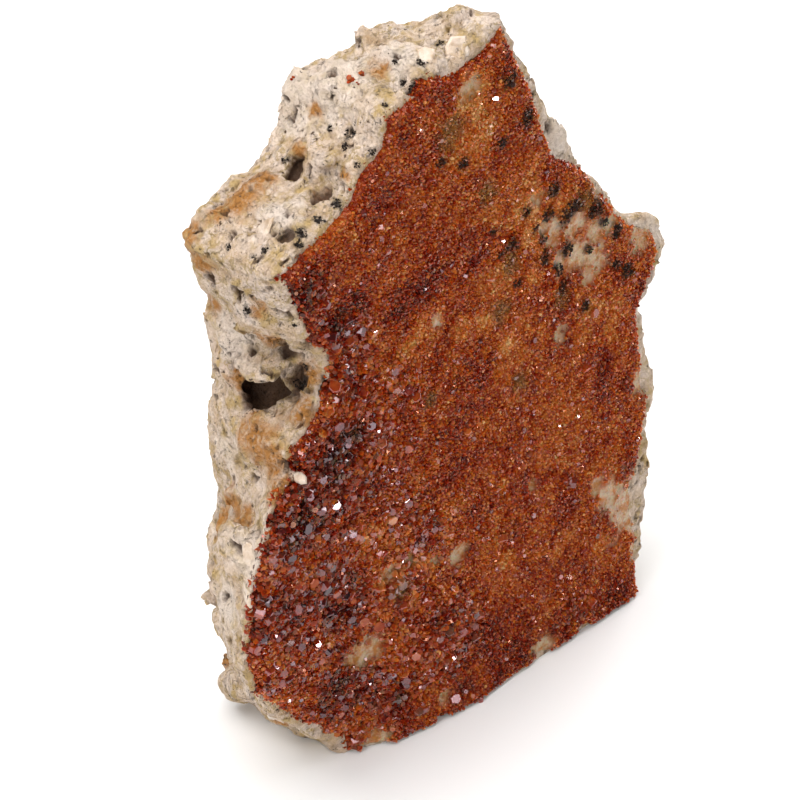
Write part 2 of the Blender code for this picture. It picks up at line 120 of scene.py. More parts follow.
# Places with a radius and an amount: the druse's tone and relief, darker or lower below zero
# The darker entries at y 288 to 306 between x 350 and 430 lie under the bulge at (370, 262) of the relief
# table and paint its shadow.
TONE_AND_SHADOW_PATCHES = (
    (305, 292, 5.5, -0.30), (330, 335, 3.5, -0.14), (350, 306, 4.0, -0.24), (400, 298, 4.0, -0.16),
    (430, 288, 3.5, -0.10), (490, 292, 6.0, 0.12), (480, 120, 7.0, 0.14), (400, 180, 5.0, 0.07),
    (553, 170, 3.5, -0.16), (570, 230, 7.0, 0.16), (520, 200, 6.0, 0.10), (590, 300, 5.0, 0.12),
    (450, 200, 7.0, 0.08), (603, 362, 2.6, -0.20), (560, 420, 8.0, 0.16), (510, 360, 6.0, 0.10),
    (455, 440, 5.0, -0.06), (338, 440, 5.0, -0.24), (318, 485, 5.0, -0.20), (292, 530, 5.0, -0.22),
    (300, 610, 12.0, -0.17), (335, 500, 9.0, -0.10), (350, 690, 9.0, -0.10), (430, 640, 8.0, -0.06),
    (385, 420, 6.0, -0.08), (330, 600, 6.0, -0.10), (340, 700, 6.0, -0.14), (450, 640, 6.0, -0.08),
    (600, 600, 5.0, -0.08), (560, 590, 5.0, 0.06), (570, 625, 4.0, -0.08), (500, 640, 5.0, -0.12),
    (385, 480, 5.0, -0.12), (350, 380, 4.0, -0.16), (620, 440, 5.0, 0.06), (430, 365, 5.0, 0.08),
    (515, 45, 3.0, -0.12), (625, 250, 3.0, -0.06), (400, 710, 4.0, -0.16), (490, 560, 4.0, 0.05),
    (300, 660, 4.0, -0.12), (650, 290, 3.0, -0.16),
)
RELIEF_PATCHES = (
    (370, 262, 5.5, 0.45), (440, 326, 4.0, -0.45), (350, 345, 3.0, -0.25), (520, 300, 6.0, 0.25),
    (345, 445, 3.0, -0.30), (575, 250, 4.5, -0.45), (440, 570, 4.0, -0.30), (369, 652, 2.5, -0.30),
    (320, 600, 4.0, 0.35), (450, 640, 5.0, 0.35), (500, 480, 5.0, 0.25), (603, 362, 2.5, -0.35),
    (633, 505, 3.5, -0.45), (560, 560, 2.5, -0.30), (590, 600, 4.0, 0.20), (471, 90, 2.5, -0.35),
)

# Where the series of random numbers start
ROCK_SEED, DRUSE_SEED, CHUNK_SEED, PLATE_SEED, STRAY_SEED = 3, 5, 7, 8, 9

# How fractal noise falls off from one octave to the next, and how much finer that one is
NOISE_FALL, NOISE_STEP = 1.0, 2.0

# How the patches fade, in their own radii, and how ragged their edges are
PATCH_REACH = 2.0
PATCH_EDGE = 1.45
PATCH_RAG = 0.6
PATCH_RAG_SIZE = (0.45, 0.3)
BLEND_EDGE = 1.25

# Red crystals on the rock, and larger plates and red crystals in the druse: pixel and radius
STRAY_CRYSTALS = (
    (350, 81, 0.36), (363, 75, 0.28), (357, 84, 0.18), (294, 78, 0.28),
)
PLATE_CRYSTALS = (
    (347, 445, 0.50), (357, 433, 0.42), (322, 480, 0.55), (308, 497, 0.62), (305, 639, 0.50),
    (291, 663, 0.45), (331, 505, 0.36), (300, 560, 0.40), (318, 603, 0.40), (345, 655, 0.36),
    (285, 610, 0.36), (360, 702, 0.42), (328, 455, 0.36), (395, 470, 0.30), (296, 588, 0.34),
    (342, 570, 0.36), (470, 602, 0.34), (272, 690, 0.36), (345, 330, 0.30), (420, 540, 0.32),
    (362, 540, 0.38), (436, 660, 0.34), (402, 620, 0.34), (300, 700, 0.34), (335, 725, 0.34),
)
RED_CRYSTALS = (
    (377, 626, 0.85), (311, 581, 0.75), (331, 535, 0.60), (430, 603, 0.50), (352, 600, 0.50),
    (270, 640, 0.45), (390, 690, 0.50), (325, 680, 0.50),
)
STRAY_GROUP = 3
STRAY_SPREAD = 0.8
STRAY_SHRINK = (0.5, 1.0)
STRAY_TONE = 0.54
STRAY_LEAN = 0.9
PLATE_TONE = 0.18
PLATE_LEAN = 0.09
PLATE_WAY = (-0.155, -0.857, 0.494)
RED_TONE = 0.40
RED_LEAN = 0.3
SINGLE_HEIGHT = (0.7, 1.0)
SINGLE_CHAMFER = 0.14
SINGLE_TONE_SPREAD = 0.06

# Hollows of the rock: pixel, radius, depth
HOLLOW_LIMIT = 2.4
HOLLOWS = (
    (262, 393, 2.0, 2.0), (277, 390, 2.0, 2.2), (291, 386, 1.6, 1.6), (252, 398, 1.2, 1.0),
    (296, 167, 0.9, 1.6), (291, 178, 0.7, 1.4), (413, 87, 0.8, 1.3), (421, 84, 0.6, 1.1),
    (238, 293, 0.8, 1.3), (289, 349, 1.2, 1.0), (310, 346, 1.0, 0.9), (328, 389, 0.9, 1.1),
    (322, 195, 1.1, 0.8), (286, 238, 0.9, 0.7), (300, 158, 0.4, 0.7), (246, 402, 0.9, 0.9),
    (297, 450, 0.8, 0.8), (286, 467, 0.9, 0.7), (266, 522, 0.6, 0.7), (240, 550, 0.7, 0.6),
    (288, 285, 0.5, 0.5), (330, 148, 0.5, 0.6), (386, 148, 0.5, 0.7), (302, 367, 0.5, 0.6),
    (254, 478, 0.6, 0.6),
)

# Broad swellings of the rock, below zero where it is worn back: pixel, radius, rise
SWELLINGS = (
    (238, 684, 3.0, 1.6), (290, 85, 3.0, 0.7), (465, 16, 3.0, 0.5), (648, 262, 4.5, 1.3),
    (637, 288, 4.5, 1.3), (640, 402, 4.5, 1.0), (637, 432, 4.0, 1.0), (592, 176, 3.0, -0.7),
    (206, 602, 3.2, -1.7), (211, 597, 2.2, -0.9), (230, 663, 1.8, -0.7), (226, 652, 2.5, -0.6),
    (215, 520, 2.8, -0.7), (205, 315, 2.2, -0.6), (340, 52, 3.0, -0.5), (314, 64, 2.5, -0.7),
    (224, 194, 2.8, -0.5), (222, 370, 3.0, 0.5), (214, 565, 2.0, 0.6),
)

# Larger baryte crystals: pixel, length, width, thickness, turn on the surface and lean out of it in degrees
CHUNKS = (
    (458, 48, 3.6, 3.0, 0.8, 60, 10), (425, 54, 2.8, 2.2, 0.8, 100, 10), (436, 38, 2.0, 1.3, 0.5, 150, 15),
    (299, 476, 2.1, 1.4, 0.9, -50, 10), (248, 558, 4.6, 2.0, 0.7, 85, 5), (246, 592, 3.6, 1.9, 0.7, 95, 5),
    (262, 231, 4.4, 2.4, 0.5, 10, 0), (276, 720, 2.8, 1.8, 0.8, 20, 10),
)
CHUNK_SIDES = 7
CHUNK_CHAMFER = 0.2
CHUNK_ENDS = (0.8, 0.82)
CHUNK_SINK = 0.32
CHUNK_JITTER = 0.3
CHUNK_SPREAD = (0.85, 1.1)

# The rock's surface
ROCK_VOXEL = 0.4
ROCK_SMOOTHING = 7
SMOOTHING_FACTOR = 0.5
BLADE_DOMAINS = 900
DOMAIN_WARP = 0.8
DOMAIN_WARP_SIZE = 2.0
PLATE_THICKNESS = (0.55, 1.3)
PLATE_RELIEF = (0.12, 0.42)
PLATE_WANDER = 0.35
PLATE_WANDER_SIZE = 1.6
PLATE_STEPS = 512
PLATE_STRIDE, DOMAIN_STRIDE = 31, 7
RIDGE_SHARE, STEP_SHARE, PLATE_SINK = 0.45, 0.8, 0.6
ROUGHNESS_RELIEF = 0.28
ROUGHNESS_SIZE = 1.3
PIT_SIZE = 1.6
PIT_START, PIT_EDGE = 0.48, 0.2
PIT_DEPTH = 0.7
# The next three lines set painted shade: how strongly pits and low dips are darkened, where dips begin, and
# how fast hollows darken.
PIT_PAINTED_WEIGHT, DIP_PAINTED_WEIGHT = 0.9, 0.3
DIP_START, DIP_EDGE = 0.15, 0.5
HOLLOW_PAINTED_EDGE = 0.8

# How the rock's relief calms down: above the table, and under the druse
TABLE_BLEND = 1.5
UNDER_DRUSE = 0.8
COVERED_RELIEF = 0.15
COVERED_RIM = 0.6

# Baryte blades; each keeps off the table and out of the hollows
BLADE_COUNT = 2000
BLADE_LENGTH = (0.5, 1.9)
BLADE_WIDTH = (0.25, 0.9)
BLADE_THICKNESS = (0.08, 0.2)
BLADE_RISE = (0.0, 0.13)
BLADE_LOWEST = 1.2
BLADE_HOLLOW = 0.25
FLAT_LYING = 0.7
FLAT_PULL = 1.1
BLADE_LEAN = 0.25
BLADE_JITTER = 0.22
BLADE_UPRIGHT = 0.1
BLADE_TAPER = 0.95
BLADE_OUTLINE = ((-1.0, -0.8), (-0.9, 0.8), (-0.1, 1.0), (0.9, 0.9), (1.0, -0.7), (0.1, -1.0))
TABLE_CLEARANCE = 0.02

# The grid that the druse's face is read on, and the druse's reach down to the table
SHEET_STEP = 0.3
SHEET_MARGIN = 2
SHEET_PROBE = 5.0
SHEET_SMOOTHING = 8
GRID_END = 1.001
CRUST_GAP = 0.5
FOOT_START = -20.0
FOOT_END = 34.0
FOOT_REACH = 3.0
FOOT_LOWEST = 3.5
FOOT_GAP = 0.35
FOOT_JAG = 0.35
FOOT_JAG_SIZE = 2.2
FOOT_JAG_ROW = 7.0
FOOT_LEAN = 0.6

# The druse's skin
SKIN_THICKNESS = 0.75
SKIN_LEAST = 0.12
SKIN_ROOT = 0.4
BARE_LOSS = 0.75
EDGE_WIDTH = 0.9
EDGE_RAG = 0.25
EDGE_RAG_SIZE = 1.1
RELIEF_HEIGHT = 0.3
LUMP_SIZE = 3.0
SMALL_LUMP_SIZE = 1.0
SMALL_LUMP_SHARE = 0.6
LUMP_LEAST, LUMP_RISE = 0.6, 0.4
# The skin shows only in the gaps between crystals; its tone is lowered there as painted shade, the more
# among coarse crystals.
SKIN_PAINTED_SHADE = 0.10
COARSE_PAINTED_SHADE = 0.20

# The druse's tone, from 0 for dark maroon to 1 for pale orange
TONE_MIDDLE = 0.47
PATCHY_SIZE, PATCHY_TONE = 6.0, 0.20
MOTTLE_SIZE, MOTTLE_TONE = 1.8, 0.15
THIN_LIFT = 0.26
TONE_SPREAD = 0.08
# A share of crystals is lifted towards pale orange as painted highlights of small glints inside the druse.
GLINT_PAINTED_SHARE = 0.08
GLINT_PAINTED_LIFT = 0.24
GLASS_SHADE = 0.06
BARE_TINGE = 0.5
BARE_SPREAD = 0.06

# The druse's crystals
CRYSTAL_SIDES = 6
SQUEEZE = (0.72, 1.05)
JITTER = 0.38
CRYSTAL_LIFT = 0.15
PRISM_ROOT = 0.9
SPIKE_ROOT = 2.2
FINE_SPACING = 0.36
FINE_MARGIN = 0.12
FINE_THINNING = 1.3
FINE_RADII = (0.32, 0.36)
FINE_POWER = 1.5
FINE_COARSENING = 0.8
FINE_ASPECT = (0.2, 1.1)
FINE_LEAN = 1.0
LARGE_LEAN = 0.9

# Larger crystals: name, spacing, margin, chance and its rise where coarse, radii, power, aspect, chamfer
LARGER_CRYSTALS = (
    ("medium_crystals", 0.72, 0.25, (0.08, 0.75), (0.216, 0.4032), 1, (0.1, 0.7), 0.12),
    ("coarse_crystals", 1.05, 0.9, (0.01, 0.85), (0.30, 0.82), 2, (0.1, 0.6), 0.14),
)

# Dark mineral grains: how many in a patch, how far out, and their own size
GRAIN_COUNT = (6, 45)
GRAIN_REACH = 0.85
GRAIN_DROP = 2.5
GRAIN_LEAN = 1.2
GRAIN_SIZE = (0.05, 0.15)
GRAIN_HEIGHT = (0.6, 1.4)

# Colours of the druse, darkest first, and of what lies on and under it
DRUSE_RAMP = (
    (0.00, (0.010, 0.002, 0.002)),
    (0.20, (0.078, 0.004, 0.0015)),
    (0.40, (0.200, 0.016, 0.0025)),
    (0.58, (0.320, 0.060, 0.007)),
    (0.78, (0.420, 0.125, 0.020)),
    (1.00, (0.580, 0.300, 0.110)),
)
TONE_WANDER = 0.25
OLIVE = (0.095, 0.060, 0.018)
OLIVE_STRENGTH = 0.7
THIN_DRUSE = (0.400, 0.170, 0.050)
UNCOVERED_ROCK = (0.500, 0.385, 0.260)
SPECK_BLACK = (0.022, 0.010, 0.005)
GRAIN_BLACK = (0.014, 0.008, 0.005)
DRUSE_GLOW = (0.7, 0.2, 0.07)

# Colour of the druse's reflections: warm on the sugar, mauve on the large faces
RED_TINT = (0.95, 0.48, 0.34)
MAUVE_TINT = (0.90, 0.72, 0.78)

# Colours of the rock
CREAM_RAMP = (
    (0.30, (0.54, 0.37, 0.22)),
    (0.43, (0.69, 0.53, 0.39)),
    (0.55, (0.80, 0.66, 0.55)),
    (0.70, (0.66, 0.54, 0.47)),
)
MILK_RAMP = (
    (0.35, (0.50, 0.36, 0.24)),
    (0.50, (0.66, 0.53, 0.42)),
    (0.68, (0.76, 0.66, 0.57)),
)
MILK_GLOW = (0.9, 0.7, 0.5)
PLATE_SHADES = ((0.84, 0.80, 0.76), (1.0, 1.0, 1.0))
# Brown at the foot of each rib: partly ochre staining, partly painted shade in the crease.
CREASE_STAIN_AND_SHADE = (0.33, 0.21, 0.09)
GRAIN_BROWN = (0.40, 0.24, 0.10)
VEIN_BROWN = (0.38, 0.26, 0.09)
TAN = (0.50, 0.34, 0.14)
CLEAN_WHITE = (0.80, 0.69, 0.60)
OCHRE = (0.42, 0.175, 0.030)
# Painted shade: the brown that pits, low dips and hollows are darkened towards.
PAINTED_SHADE_BROWN = (0.085, 0.036, 0.014)
# Painted shade of the pores, which are only bumped in.
PAINTED_PORE_SHADE = (0.12, 0.065, 0.03)
SOOT_BLACK = (0.022, 0.016, 0.012)

# The table and the lights: name, place, side, watts and colour
TABLE_SIDE = 4000.0
TABLE_WHITE = (0.87, 0.87, 0.87)
SPARK_SIZE = 58
SPARK_COLOUR = (1.0, 0.98, 0.95)
LIGHTS = (
    ("overhead", (-160, 120, 640), 700, 6.8, (1.0, 0.99, 0.98)),
    ("left", (-620, -120, 300), 320, 1.6, (1.0, 0.98, 0.96)),
    ("right", (560, 120, 320), 360, 2.6, (1.0, 0.99, 0.98)),
    ("front", (250, -620, 200), 300, 0.8, (0.99, 0.98, 1.0)),
    ("high_spark", (-300, -420, 560), SPARK_SIZE, 0.45, SPARK_COLOUR),
    ("right_spark", (330, -520, 330), SPARK_SIZE, 0.30, SPARK_COLOUR),
    ("low_spark", (-100, -640, 160), SPARK_SIZE, 0.25, SPARK_COLOUR),
    ("side_spark", (-520, -400, 220), SPARK_SIZE, 0.25, SPARK_COLOUR),
    ("far_spark", (560, -300, 400), SPARK_SIZE, 0.30, SPARK_COLOUR),
)
LIGHT_AIM = (0, 0, 40)
WORLD_COLOUR = (0.97, 0.98, 1.0, 1.0)
WORLD_STRENGTH = 0.06


def clamp01(values):
    return np.clip(values, 0.0, 1.0)


def smooth01(values):
    t = clamp01(values)
    return t * t * (3 - 2 * t)


def unit(vectors):
    """Each vector brought to length one."""
    return vectors / np.linalg.norm(vectors, axis=-1, keepdims=True)


def fractal(points, scale, octaves=3, shift=0.0):
    """Fractal noise of about -1 to 1 at each point, its largest lumps about one scale wide."""
    moved = points / scale + shift
    return np.array([noise.fractal(Vector(p), NOISE_FALL, NOISE_STEP, octaves) for p in moved])


def camera_axes():
    """The camera's right, up and forward directions."""
    forward = Vector((
        -math.sin(AZIMUTH) * math.cos(ELEVATION),
        math.cos(AZIMUTH) * math.cos(ELEVATION),
        -math.sin(ELEVATION),
    ))
    right = Vector((math.cos(AZIMUTH), math.sin(AZIMUTH), 0.0))
    return right, right.cross(forward), forward


def add_camera():
    right, up, forward = camera_axes()
    data = bpy.data.cameras.new("photo_camera")
    data.sensor_width = SENSOR
    data.lens = FOCAL_LENGTH / PHOTO_SIDE * SENSOR
    data.clip_start = CLIP_START
    data.clip_end = CLIP_END
    camera = bpy.data.objects.new("photo_camera", data)
    turn = Matrix((right, up, -forward)).transposed().to_4x4()
    camera.matrix_world = Matrix.Translation(Vector(CAMERA_PLACE) * MM) @ turn
    bpy.context.scene.collection.objects.link(camera)
    bpy.context.scene.camera = camera


def mesh_tree(mesh):
    """A search tree of a mesh's faces, in millimetres."""
    points = [v.co / MM for v in mesh.vertices]
    return BVHTree.FromPolygons(points, [p.vertices for p in mesh.polygons])


def point_tree(points):
    """A search tree that finds the number of the nearest point."""
    tree = KDTree(len(points))
    for index, point in enumerate(points):
        tree.insert(point, index)
    tree.balance()
    return tree


def seen_at(across, down, trees):
    """The nearest point of the solids behind a pixel of the photograph, and the surface normal there."""
    right, up, forward = camera_axes()
    half = PHOTO_SIDE / 2
    ray = forward * FOCAL_LENGTH + right * (across - half) + up * (half - down)
    hits = [tree.ray_cast(Vector(CAMERA_PLACE), ray.normalized()) for tree in trees]
    hits = [hit for hit in hits if hit[0] is not None]
    if not hits:
        return None
    place, normal, _, _ = min(hits, key=lambda hit: hit[3])
    return place, normal


def found_places(rows, trees):
    """The point, the surface normal and the further values of every row whose pixel meets the solids."""
    for across, down, *values in rows:
        found = seen_at(across, down, trees)
        if found is not None:
            yield (*found, *values)


def patch_field(points, patches, trees, seed):
    """How deep each point lies in the nearest patch: 1 at its middle, 0 outside, with a ragged edge."""
    field = np.zeros(len(points))
    share, least = PATCH_RAG_SIZE
    for place, _, radius in found_places(patches, trees):
        away = np.linalg.norm(points - np.array(place), axis=1) / radius
        near = away < PATCH_REACH
        if near.any():
            ragged = fractal(points[near], share * radius + least, octaves=3, shift=seed)
            field[near] = np.maximum(field[near], smooth01(PATCH_EDGE - away[near] + PATCH_RAG * ragged))
    return field


def blended(points, patches, trees):
    """Sum at each point of the broad patches' amounts, each fading out towards its radius."""
    total = np.zeros(len(points))
    for place, _, radius, amount in found_places(patches, trees):
        away = np.linalg.norm(points - np.array(place), axis=1) / radius
        total += amount * smooth01(BLEND_EDGE - away)
    return total


def carved(points, places, trees, seed):
    """Sum at each point of the amounts of ragged patches, each full at its middle."""
    total = np.zeros(len(points))
    for index, (*patch, amount) in enumerate(places):
        total += amount * patch_field(points, (patch,), trees, seed + index)
    return total


def mesh_object(name, points, faces, values=None):
    """An object of a mesh in millimetres, with named float values at its points."""
    mesh = bpy.data.meshes.new(name)
    mesh.from_pydata(np.asarray(points) * MM, [], faces)
    for key, numbers in (values or {}).items():
        attribute = mesh.attributes.new(key, "FLOAT", "POINT")
        attribute.data.foreach_set("value", np.asarray(numbers, np.float32))
    mesh.update()
    made = bpy.data.objects.new(name, mesh)
    bpy.context.scene.collection.objects.link(made)
    return made


def finish_piece(piece, node, material):
    """Fixes a piece to the specimen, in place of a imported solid."""
    piece.data.materials.append(material)
    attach(piece, BODY)
    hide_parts(node)
    return piece


def neighbours(padded):
    """The cells below, above, left and right of each cell, from a grid padded by one cell."""
    return padded[:-2, 1:-1], padded[2:, 1:-1], padded[1:-1, :-2], padded[1:-1, 2:]


def grid_squares(index):
    """The corners of every square of a grid of numbered points."""
    corners = (index[:-1, :-1], index[:-1, 1:], index[1:, 1:], index[1:, :-1])
    return np.stack(corners, axis=-1).reshape(-1, 4)


class Sheet:
    """The face that the druse grows on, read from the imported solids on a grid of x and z."""

    def __init__(self, rock_tree, crust_tree):
        low, high = (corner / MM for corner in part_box("vanadinite_crust"))
        self.low = np.array((low.x, low.z)) - SHEET_MARGIN * SHEET_STEP
        self.columns = int((high.x - low.x) / SHEET_STEP) + 2 * SHEET_MARGIN + 1
        self.rows = int((high.z - low.z) / SHEET_STEP) + 2 * SHEET_MARGIN + 1
        self.rock = np.zeros((self.rows, self.columns))
        self.inside = np.zeros((self.rows, self.columns), bool)
        for row in range(self.rows):
            for column in range(self.columns):
                self.read(row, column, low.y - SHEET_PROBE, high.y + SHEET_PROBE, rock_tree, crust_tree)
        self.reach_down()
        self.fill_outside()
        self.measure_rim()

    def place(self, row, column):
        return self.low[0] + column * SHEET_STEP, self.low[1] + row * SHEET_STEP

    def read(self, row, column, front, back, rock_tree, crust_tree):
        """Takes the rock's depth at a cell where the crust lies close on it."""
        x, z = self.place(row, column)
        on_rock = rock_tree.ray_cast(Vector((x, front, z)), Vector((0, 1, 0)))[0]
        on_crust = crust_tree.ray_cast(Vector((x, back, z)), Vector((0, -1, 0)))[0]
        if on_rock and on_crust and abs(on_rock.y - on_crust.y) < CRUST_GAP:
            self.inside[row, column] = True
            self.rock[row, column] = on_rock.y

    def reach_down(self):
        """Lets the druse cover the rock's toe down to a ragged line just above the table."""
        for column in range(self.columns):
            x, _ = self.place(0, column)
            rows = np.flatnonzero(self.inside[:, column])
            if not FOOT_START < x < FOOT_END or not len(rows):
                continue
            lowest = rows[0]
            if self.place(lowest, column)[1] > FOOT_LOWEST:
                continue
            spot = Vector((x / FOOT_JAG_SIZE, FOOT_JAG_ROW, 0.0))
            ragged = noise.fractal(spot, NOISE_FALL, NOISE_STEP, 3)
            for row in range(lowest):
                _, z = self.place(row, column)
                if FOOT_GAP + FOOT_JAG * ragged < z < FOOT_REACH:
                    self.inside[row, column] = True
                    self.rock[row, column] = self.rock[lowest, column] - FOOT_LEAN * (1 - z / FOOT_REACH)

    def fill_outside(self):
        """Carries the face's depth outwards past its rim, then smooths it."""
        cells = np.argwhere(self.inside)
        known = point_tree([(row, column, 0.0) for row, column in cells])
        for row, column in np.argwhere(~self.inside):
            nearest = cells[known.find((row, column, 0.0))[1]]
            self.rock[row, column] = self.rock[nearest[0], nearest[1]]
        for _ in range(SHEET_SMOOTHING):
            self.rock = sum(neighbours(np.pad(self.rock, 1, mode="edge"))) / 4

    def measure_rim(self):
        """Distance of each inside cell from the druse's rim."""
        outside = point_tree([(row, column, 0.0) for row, column in np.argwhere(~self.inside)])
        self.rim = np.zeros_like(self.rock)
        for row, column in np.argwhere(self.inside):
            self.rim[row, column] = outside.find((row, column, 0.0))[2] * SHEET_STEP

    def grid_points(self):
        """Every cell's point on the rock's face, row after row."""
        columns, rows = np.meshgrid(np.arange(self.columns), np.arange(self.rows))
        x = self.low[0] + columns * SHEET_STEP
        z = self.low[1] + rows * SHEET_STEP
        return np.stack((x, self.rock, z), axis=-1).reshape(-1, 3)

    def sample(self, values, x, z):
        """Values of the grid at any places, by bilinear blending."""
        across = np.clip((x - self.low[0]) / SHEET_STEP, 0, self.columns - GRID_END)
        along = np.clip((z - self.low[1]) / SHEET_STEP, 0, self.rows - GRID_END)
        column, row = across.astype(int), along.astype(int)
        u, v = across - column, along - row
        low = values[row, column] * (1 - u) + values[row, column + 1] * u
        high = values[row + 1, column] * (1 - u) + values[row + 1, column + 1] * u
        return low * (1 - v) + high * v


def dress_sheet(sheet):
    """Adds the druse's fields to the sheet: bareness, tone, coarseness, and its front surface."""
    points = sheet.grid_points()
    points[:, 1] -= SKIN_THICKNESS
    shape = sheet.rock.shape
    squares = grid_squares(np.arange(len(points)).reshape(shape))
    trees = (BVHTree.FromPolygons(points.tolist(), squares.tolist()),)
    sheet.bare = patch_field(points, BARE_PATCHES, trees, 1.0).reshape(shape)
    thin = THIN_LIFT * patch_field(points, THIN_PATCHES, trees, 2.0)
    # The tone patches include painted shadow under a bulge of the druse.
    sheet.shade = (blended(points, TONE_AND_SHADOW_PATCHES, trees) + thin).reshape(shape)
    sheet.olive = patch_field(points, OLIVE_PATCHES, trees, 3.0).reshape(shape)
    sheet.coarse = patch_field(points, COARSE_PATCHES, trees, 4.0).reshape(shape)
    sheet.speck = patch_field(points, SPECK_PATCHES, trees, 5.0).reshape(shape)
    lumps = fractal(points, LUMP_SIZE, octaves=2, shift=11.0)
    lumps = lumps + SMALL_LUMP_SHARE * fractal(points, SMALL_LUMP_SIZE, octaves=2, shift=12.0)
    sheet.patchy = fractal(points, PATCHY_SIZE, octaves=4, shift=13.0).reshape(shape)
    sheet.mottle = fractal(points, MOTTLE_SIZE, octaves=3, shift=15.0).reshape(shape)
    ragged = EDGE_RAG * (1 + fractal(points, EDGE_RAG_SIZE, octaves=3, shift=14.0)).reshape(shape)
    edge = smooth01((sheet.rim - ragged) / EDGE_WIDTH)
    height = RELIEF_HEIGHT * (LUMP_LEAST + LUMP_RISE * sheet.coarse)
    thickness = SKIN_THICKNESS + height * lumps.reshape(shape)
    thickness = thickness * (1 - BARE_LOSS * sheet.bare)
    thickness = thickness + blended(points, RELIEF_PATCHES, trees).reshape(shape)
    sheet.front = sheet.rock + SKIN_ROOT - edge * (SKIN_ROOT + np.maximum(thickness, SKIN_LEAST))
    across, upward = (np.gradient(sheet.front, SHEET_STEP, axis=axis) for axis in (1, 0))
    sheet.normal = unit(np.stack((across, -np.ones(shape), upward), axis=-1))


def druse_tone(sheet, x, z):
    """Place on the red to orange ramp of the druse at each place: 0 is dark maroon, 1 pale orange."""
    tone = TONE_MIDDLE + PATCHY_TONE * sheet.sample(sheet.patchy, x, z)
    tone = tone + MOTTLE_TONE * sheet.sample(sheet.mottle, x, z)
    return tone + sheet.sample(sheet.shade, x, z)


def make_skin(sheet, material):
    """The druse's continuous base: one lumpy sheet whose rim dives into the rock."""
    inside = sheet.rim > 0
    wanted = np.logical_or.reduce((inside, *neighbours(np.pad(inside, 1))))
    index = -np.ones(sheet.rock.shape, int)
    index[wanted] = np.arange(wanted.sum())
    points = sheet.grid_points().reshape(*sheet.rock.shape, 3)
    points[..., 1] = sheet.front
    faces = grid_squares(index)
    faces = faces[(faces >= 0).all(axis=1)]
    x, z = points[wanted][:, 0], points[wanted][:, 2]
    # The skin's tone is lowered as painted shade in the gaps between crystals.
    values = {
        "tone": druse_tone(sheet, x, z) - SKIN_PAINTED_SHADE - COARSE_PAINTED_SHADE * sheet.coarse[wanted],
        "bare": sheet.bare[wanted],
        "olive": sheet.olive[wanted],
        "speck": sheet.speck[wanted],
    }
    skin = mesh_object("vanadinite_skin", points[wanted], faces, values)
    skin.data.shade_smooth()
    return finish_piece(skin, "vanadinite_crust", material)


def jittered_places(sheet, spacing, chance, margin):
    """Places about one spacing apart over the druse, as arrays of x and z."""
    row_height = spacing * math.sqrt(3) / 2
    width, height = sheet.columns * SHEET_STEP, sheet.rows * SHEET_STEP
    columns, rows = np.meshgrid(np.arange(int(width / spacing)), np.arange(int(height / row_height)))
    x = sheet.low[0] + (columns + 0.5 * (rows % 2)) * spacing
    z = sheet.low[1] + rows * row_height
    x = (x + chance.uniform(-JITTER, JITTER, x.shape) * spacing).ravel()
    z = (z + chance.uniform(-JITTER, JITTER, z.shape) * spacing).ravel()
    keep = sheet.sample(sheet.rim, x, z) > margin
    return x[keep], z[keep]


def perpendicular(axes):
    """Two unit directions across each axis."""
    upright = np.abs(axes[:, 2:3]) >= UPRIGHT
    helper = np.where(upright, np.array([[1.0, 0.0, 0.0]]), np.array([[0.0, 0.0, 1.0]]))
    side = unit(np.cross(axes, helper))
    return side, np.cross(axes, side)


def tilted(normals, spread, chance):
    """Each normal turned at random by up to about the spread, in radians."""
    side, other = perpendicular(normals)
    turn = chance.uniform(0, math.tau, len(normals))[:, None]
    tilt = (spread * np.sqrt(chance.uniform(0, 1, len(normals))))[:, None]
    return np.cos(tilt) * normals + np.sin(tilt) * (np.cos(turn) * side + np.sin(turn) * other)


def fan(first, sides):
    """Triangles that fill one ring of points."""
    return [(first, first + k, first + k + 1) for k in range(1, sides - 1)]


def walls(first, sides):
    """Four-sided faces between a ring of points and the next ring in the list."""
    pairs = [(first + k, first + (k + 1) % sides) for k in range(sides)]
    return [(a, b, b + sides, a + sides) for a, b in pairs]


def halved(quads):
    """Each four-sided face as two triangles."""
    return [half for a, b, c, d in quads for half in ((a, b, c), (a, c, d))]


def repeated(faces, count, each):
    """The triangles of one shape of so many points, for every one of many shapes."""
    return ((np.arange(count) * each)[:, None, None] + np.array(faces)[None]).reshape(-1, 3)


def spread_rings(centres, axes, radii, levels, chance):
    """Hexagonal rings of points round each axis, one for every pair of height and relative width."""
    count = len(centres)
    side, other = perpendicular(axes)
    corners = np.arange(CRYSTAL_SIDES) * math.tau / CRYSTAL_SIDES
    spin = chance.uniform(0, math.tau, count)[:, None] + corners
    squeeze = chance.uniform(*SQUEEZE, count)[:, None, None]
    ring = np.cos(spin)[..., None] * side[:, None] + squeeze * np.sin(spin)[..., None] * other[:, None]
    rings = [
        centres[:, None] + axes[:, None] * level[:, None, None] + ring * (radii * shrink)[:, None, None]
        for level, shrink in levels
    ]
    return np.concatenate(rings, axis=1)


def prisms(centres, axes, radii, heights, chance, chamfer):
    """Points and triangles of many hexagonal prisms with chamfered ends, each on its axis."""
    levels = ((-PRISM_ROOT * radii, 1.0), (heights - chamfer * radii, 1.0), (heights, 1.0 - chamfer))
    points = spread_rings(centres, axes, radii, levels, chance)
    sides = CRYSTAL_SIDES
    faces = fan(2 * sides, sides) + halved(walls(0, sides) + walls(sides, sides))
    each = 3 * sides
    return points.reshape(-1, 3), repeated(faces, len(centres), each), each


def spikes(centres, axes, radii, heights, chance):
    """Points and triangles of many small hexagonal crystals that taper to a point at their hidden root."""
    rings = spread_rings(centres, axes, radii, ((heights, 1.0),), chance)
    roots = centres - axes * (SPIKE_ROOT * radii)[:, None]
    points = np.concatenate((rings, roots[:, None]), axis=1)
    sides = CRYSTAL_SIDES
    faces = fan(0, sides) + [(k, sides, (k + 1) % sides) for k in range(sides)]
    each = sides + 1
    return points.reshape(-1, 3), repeated(faces, len(centres), each), each


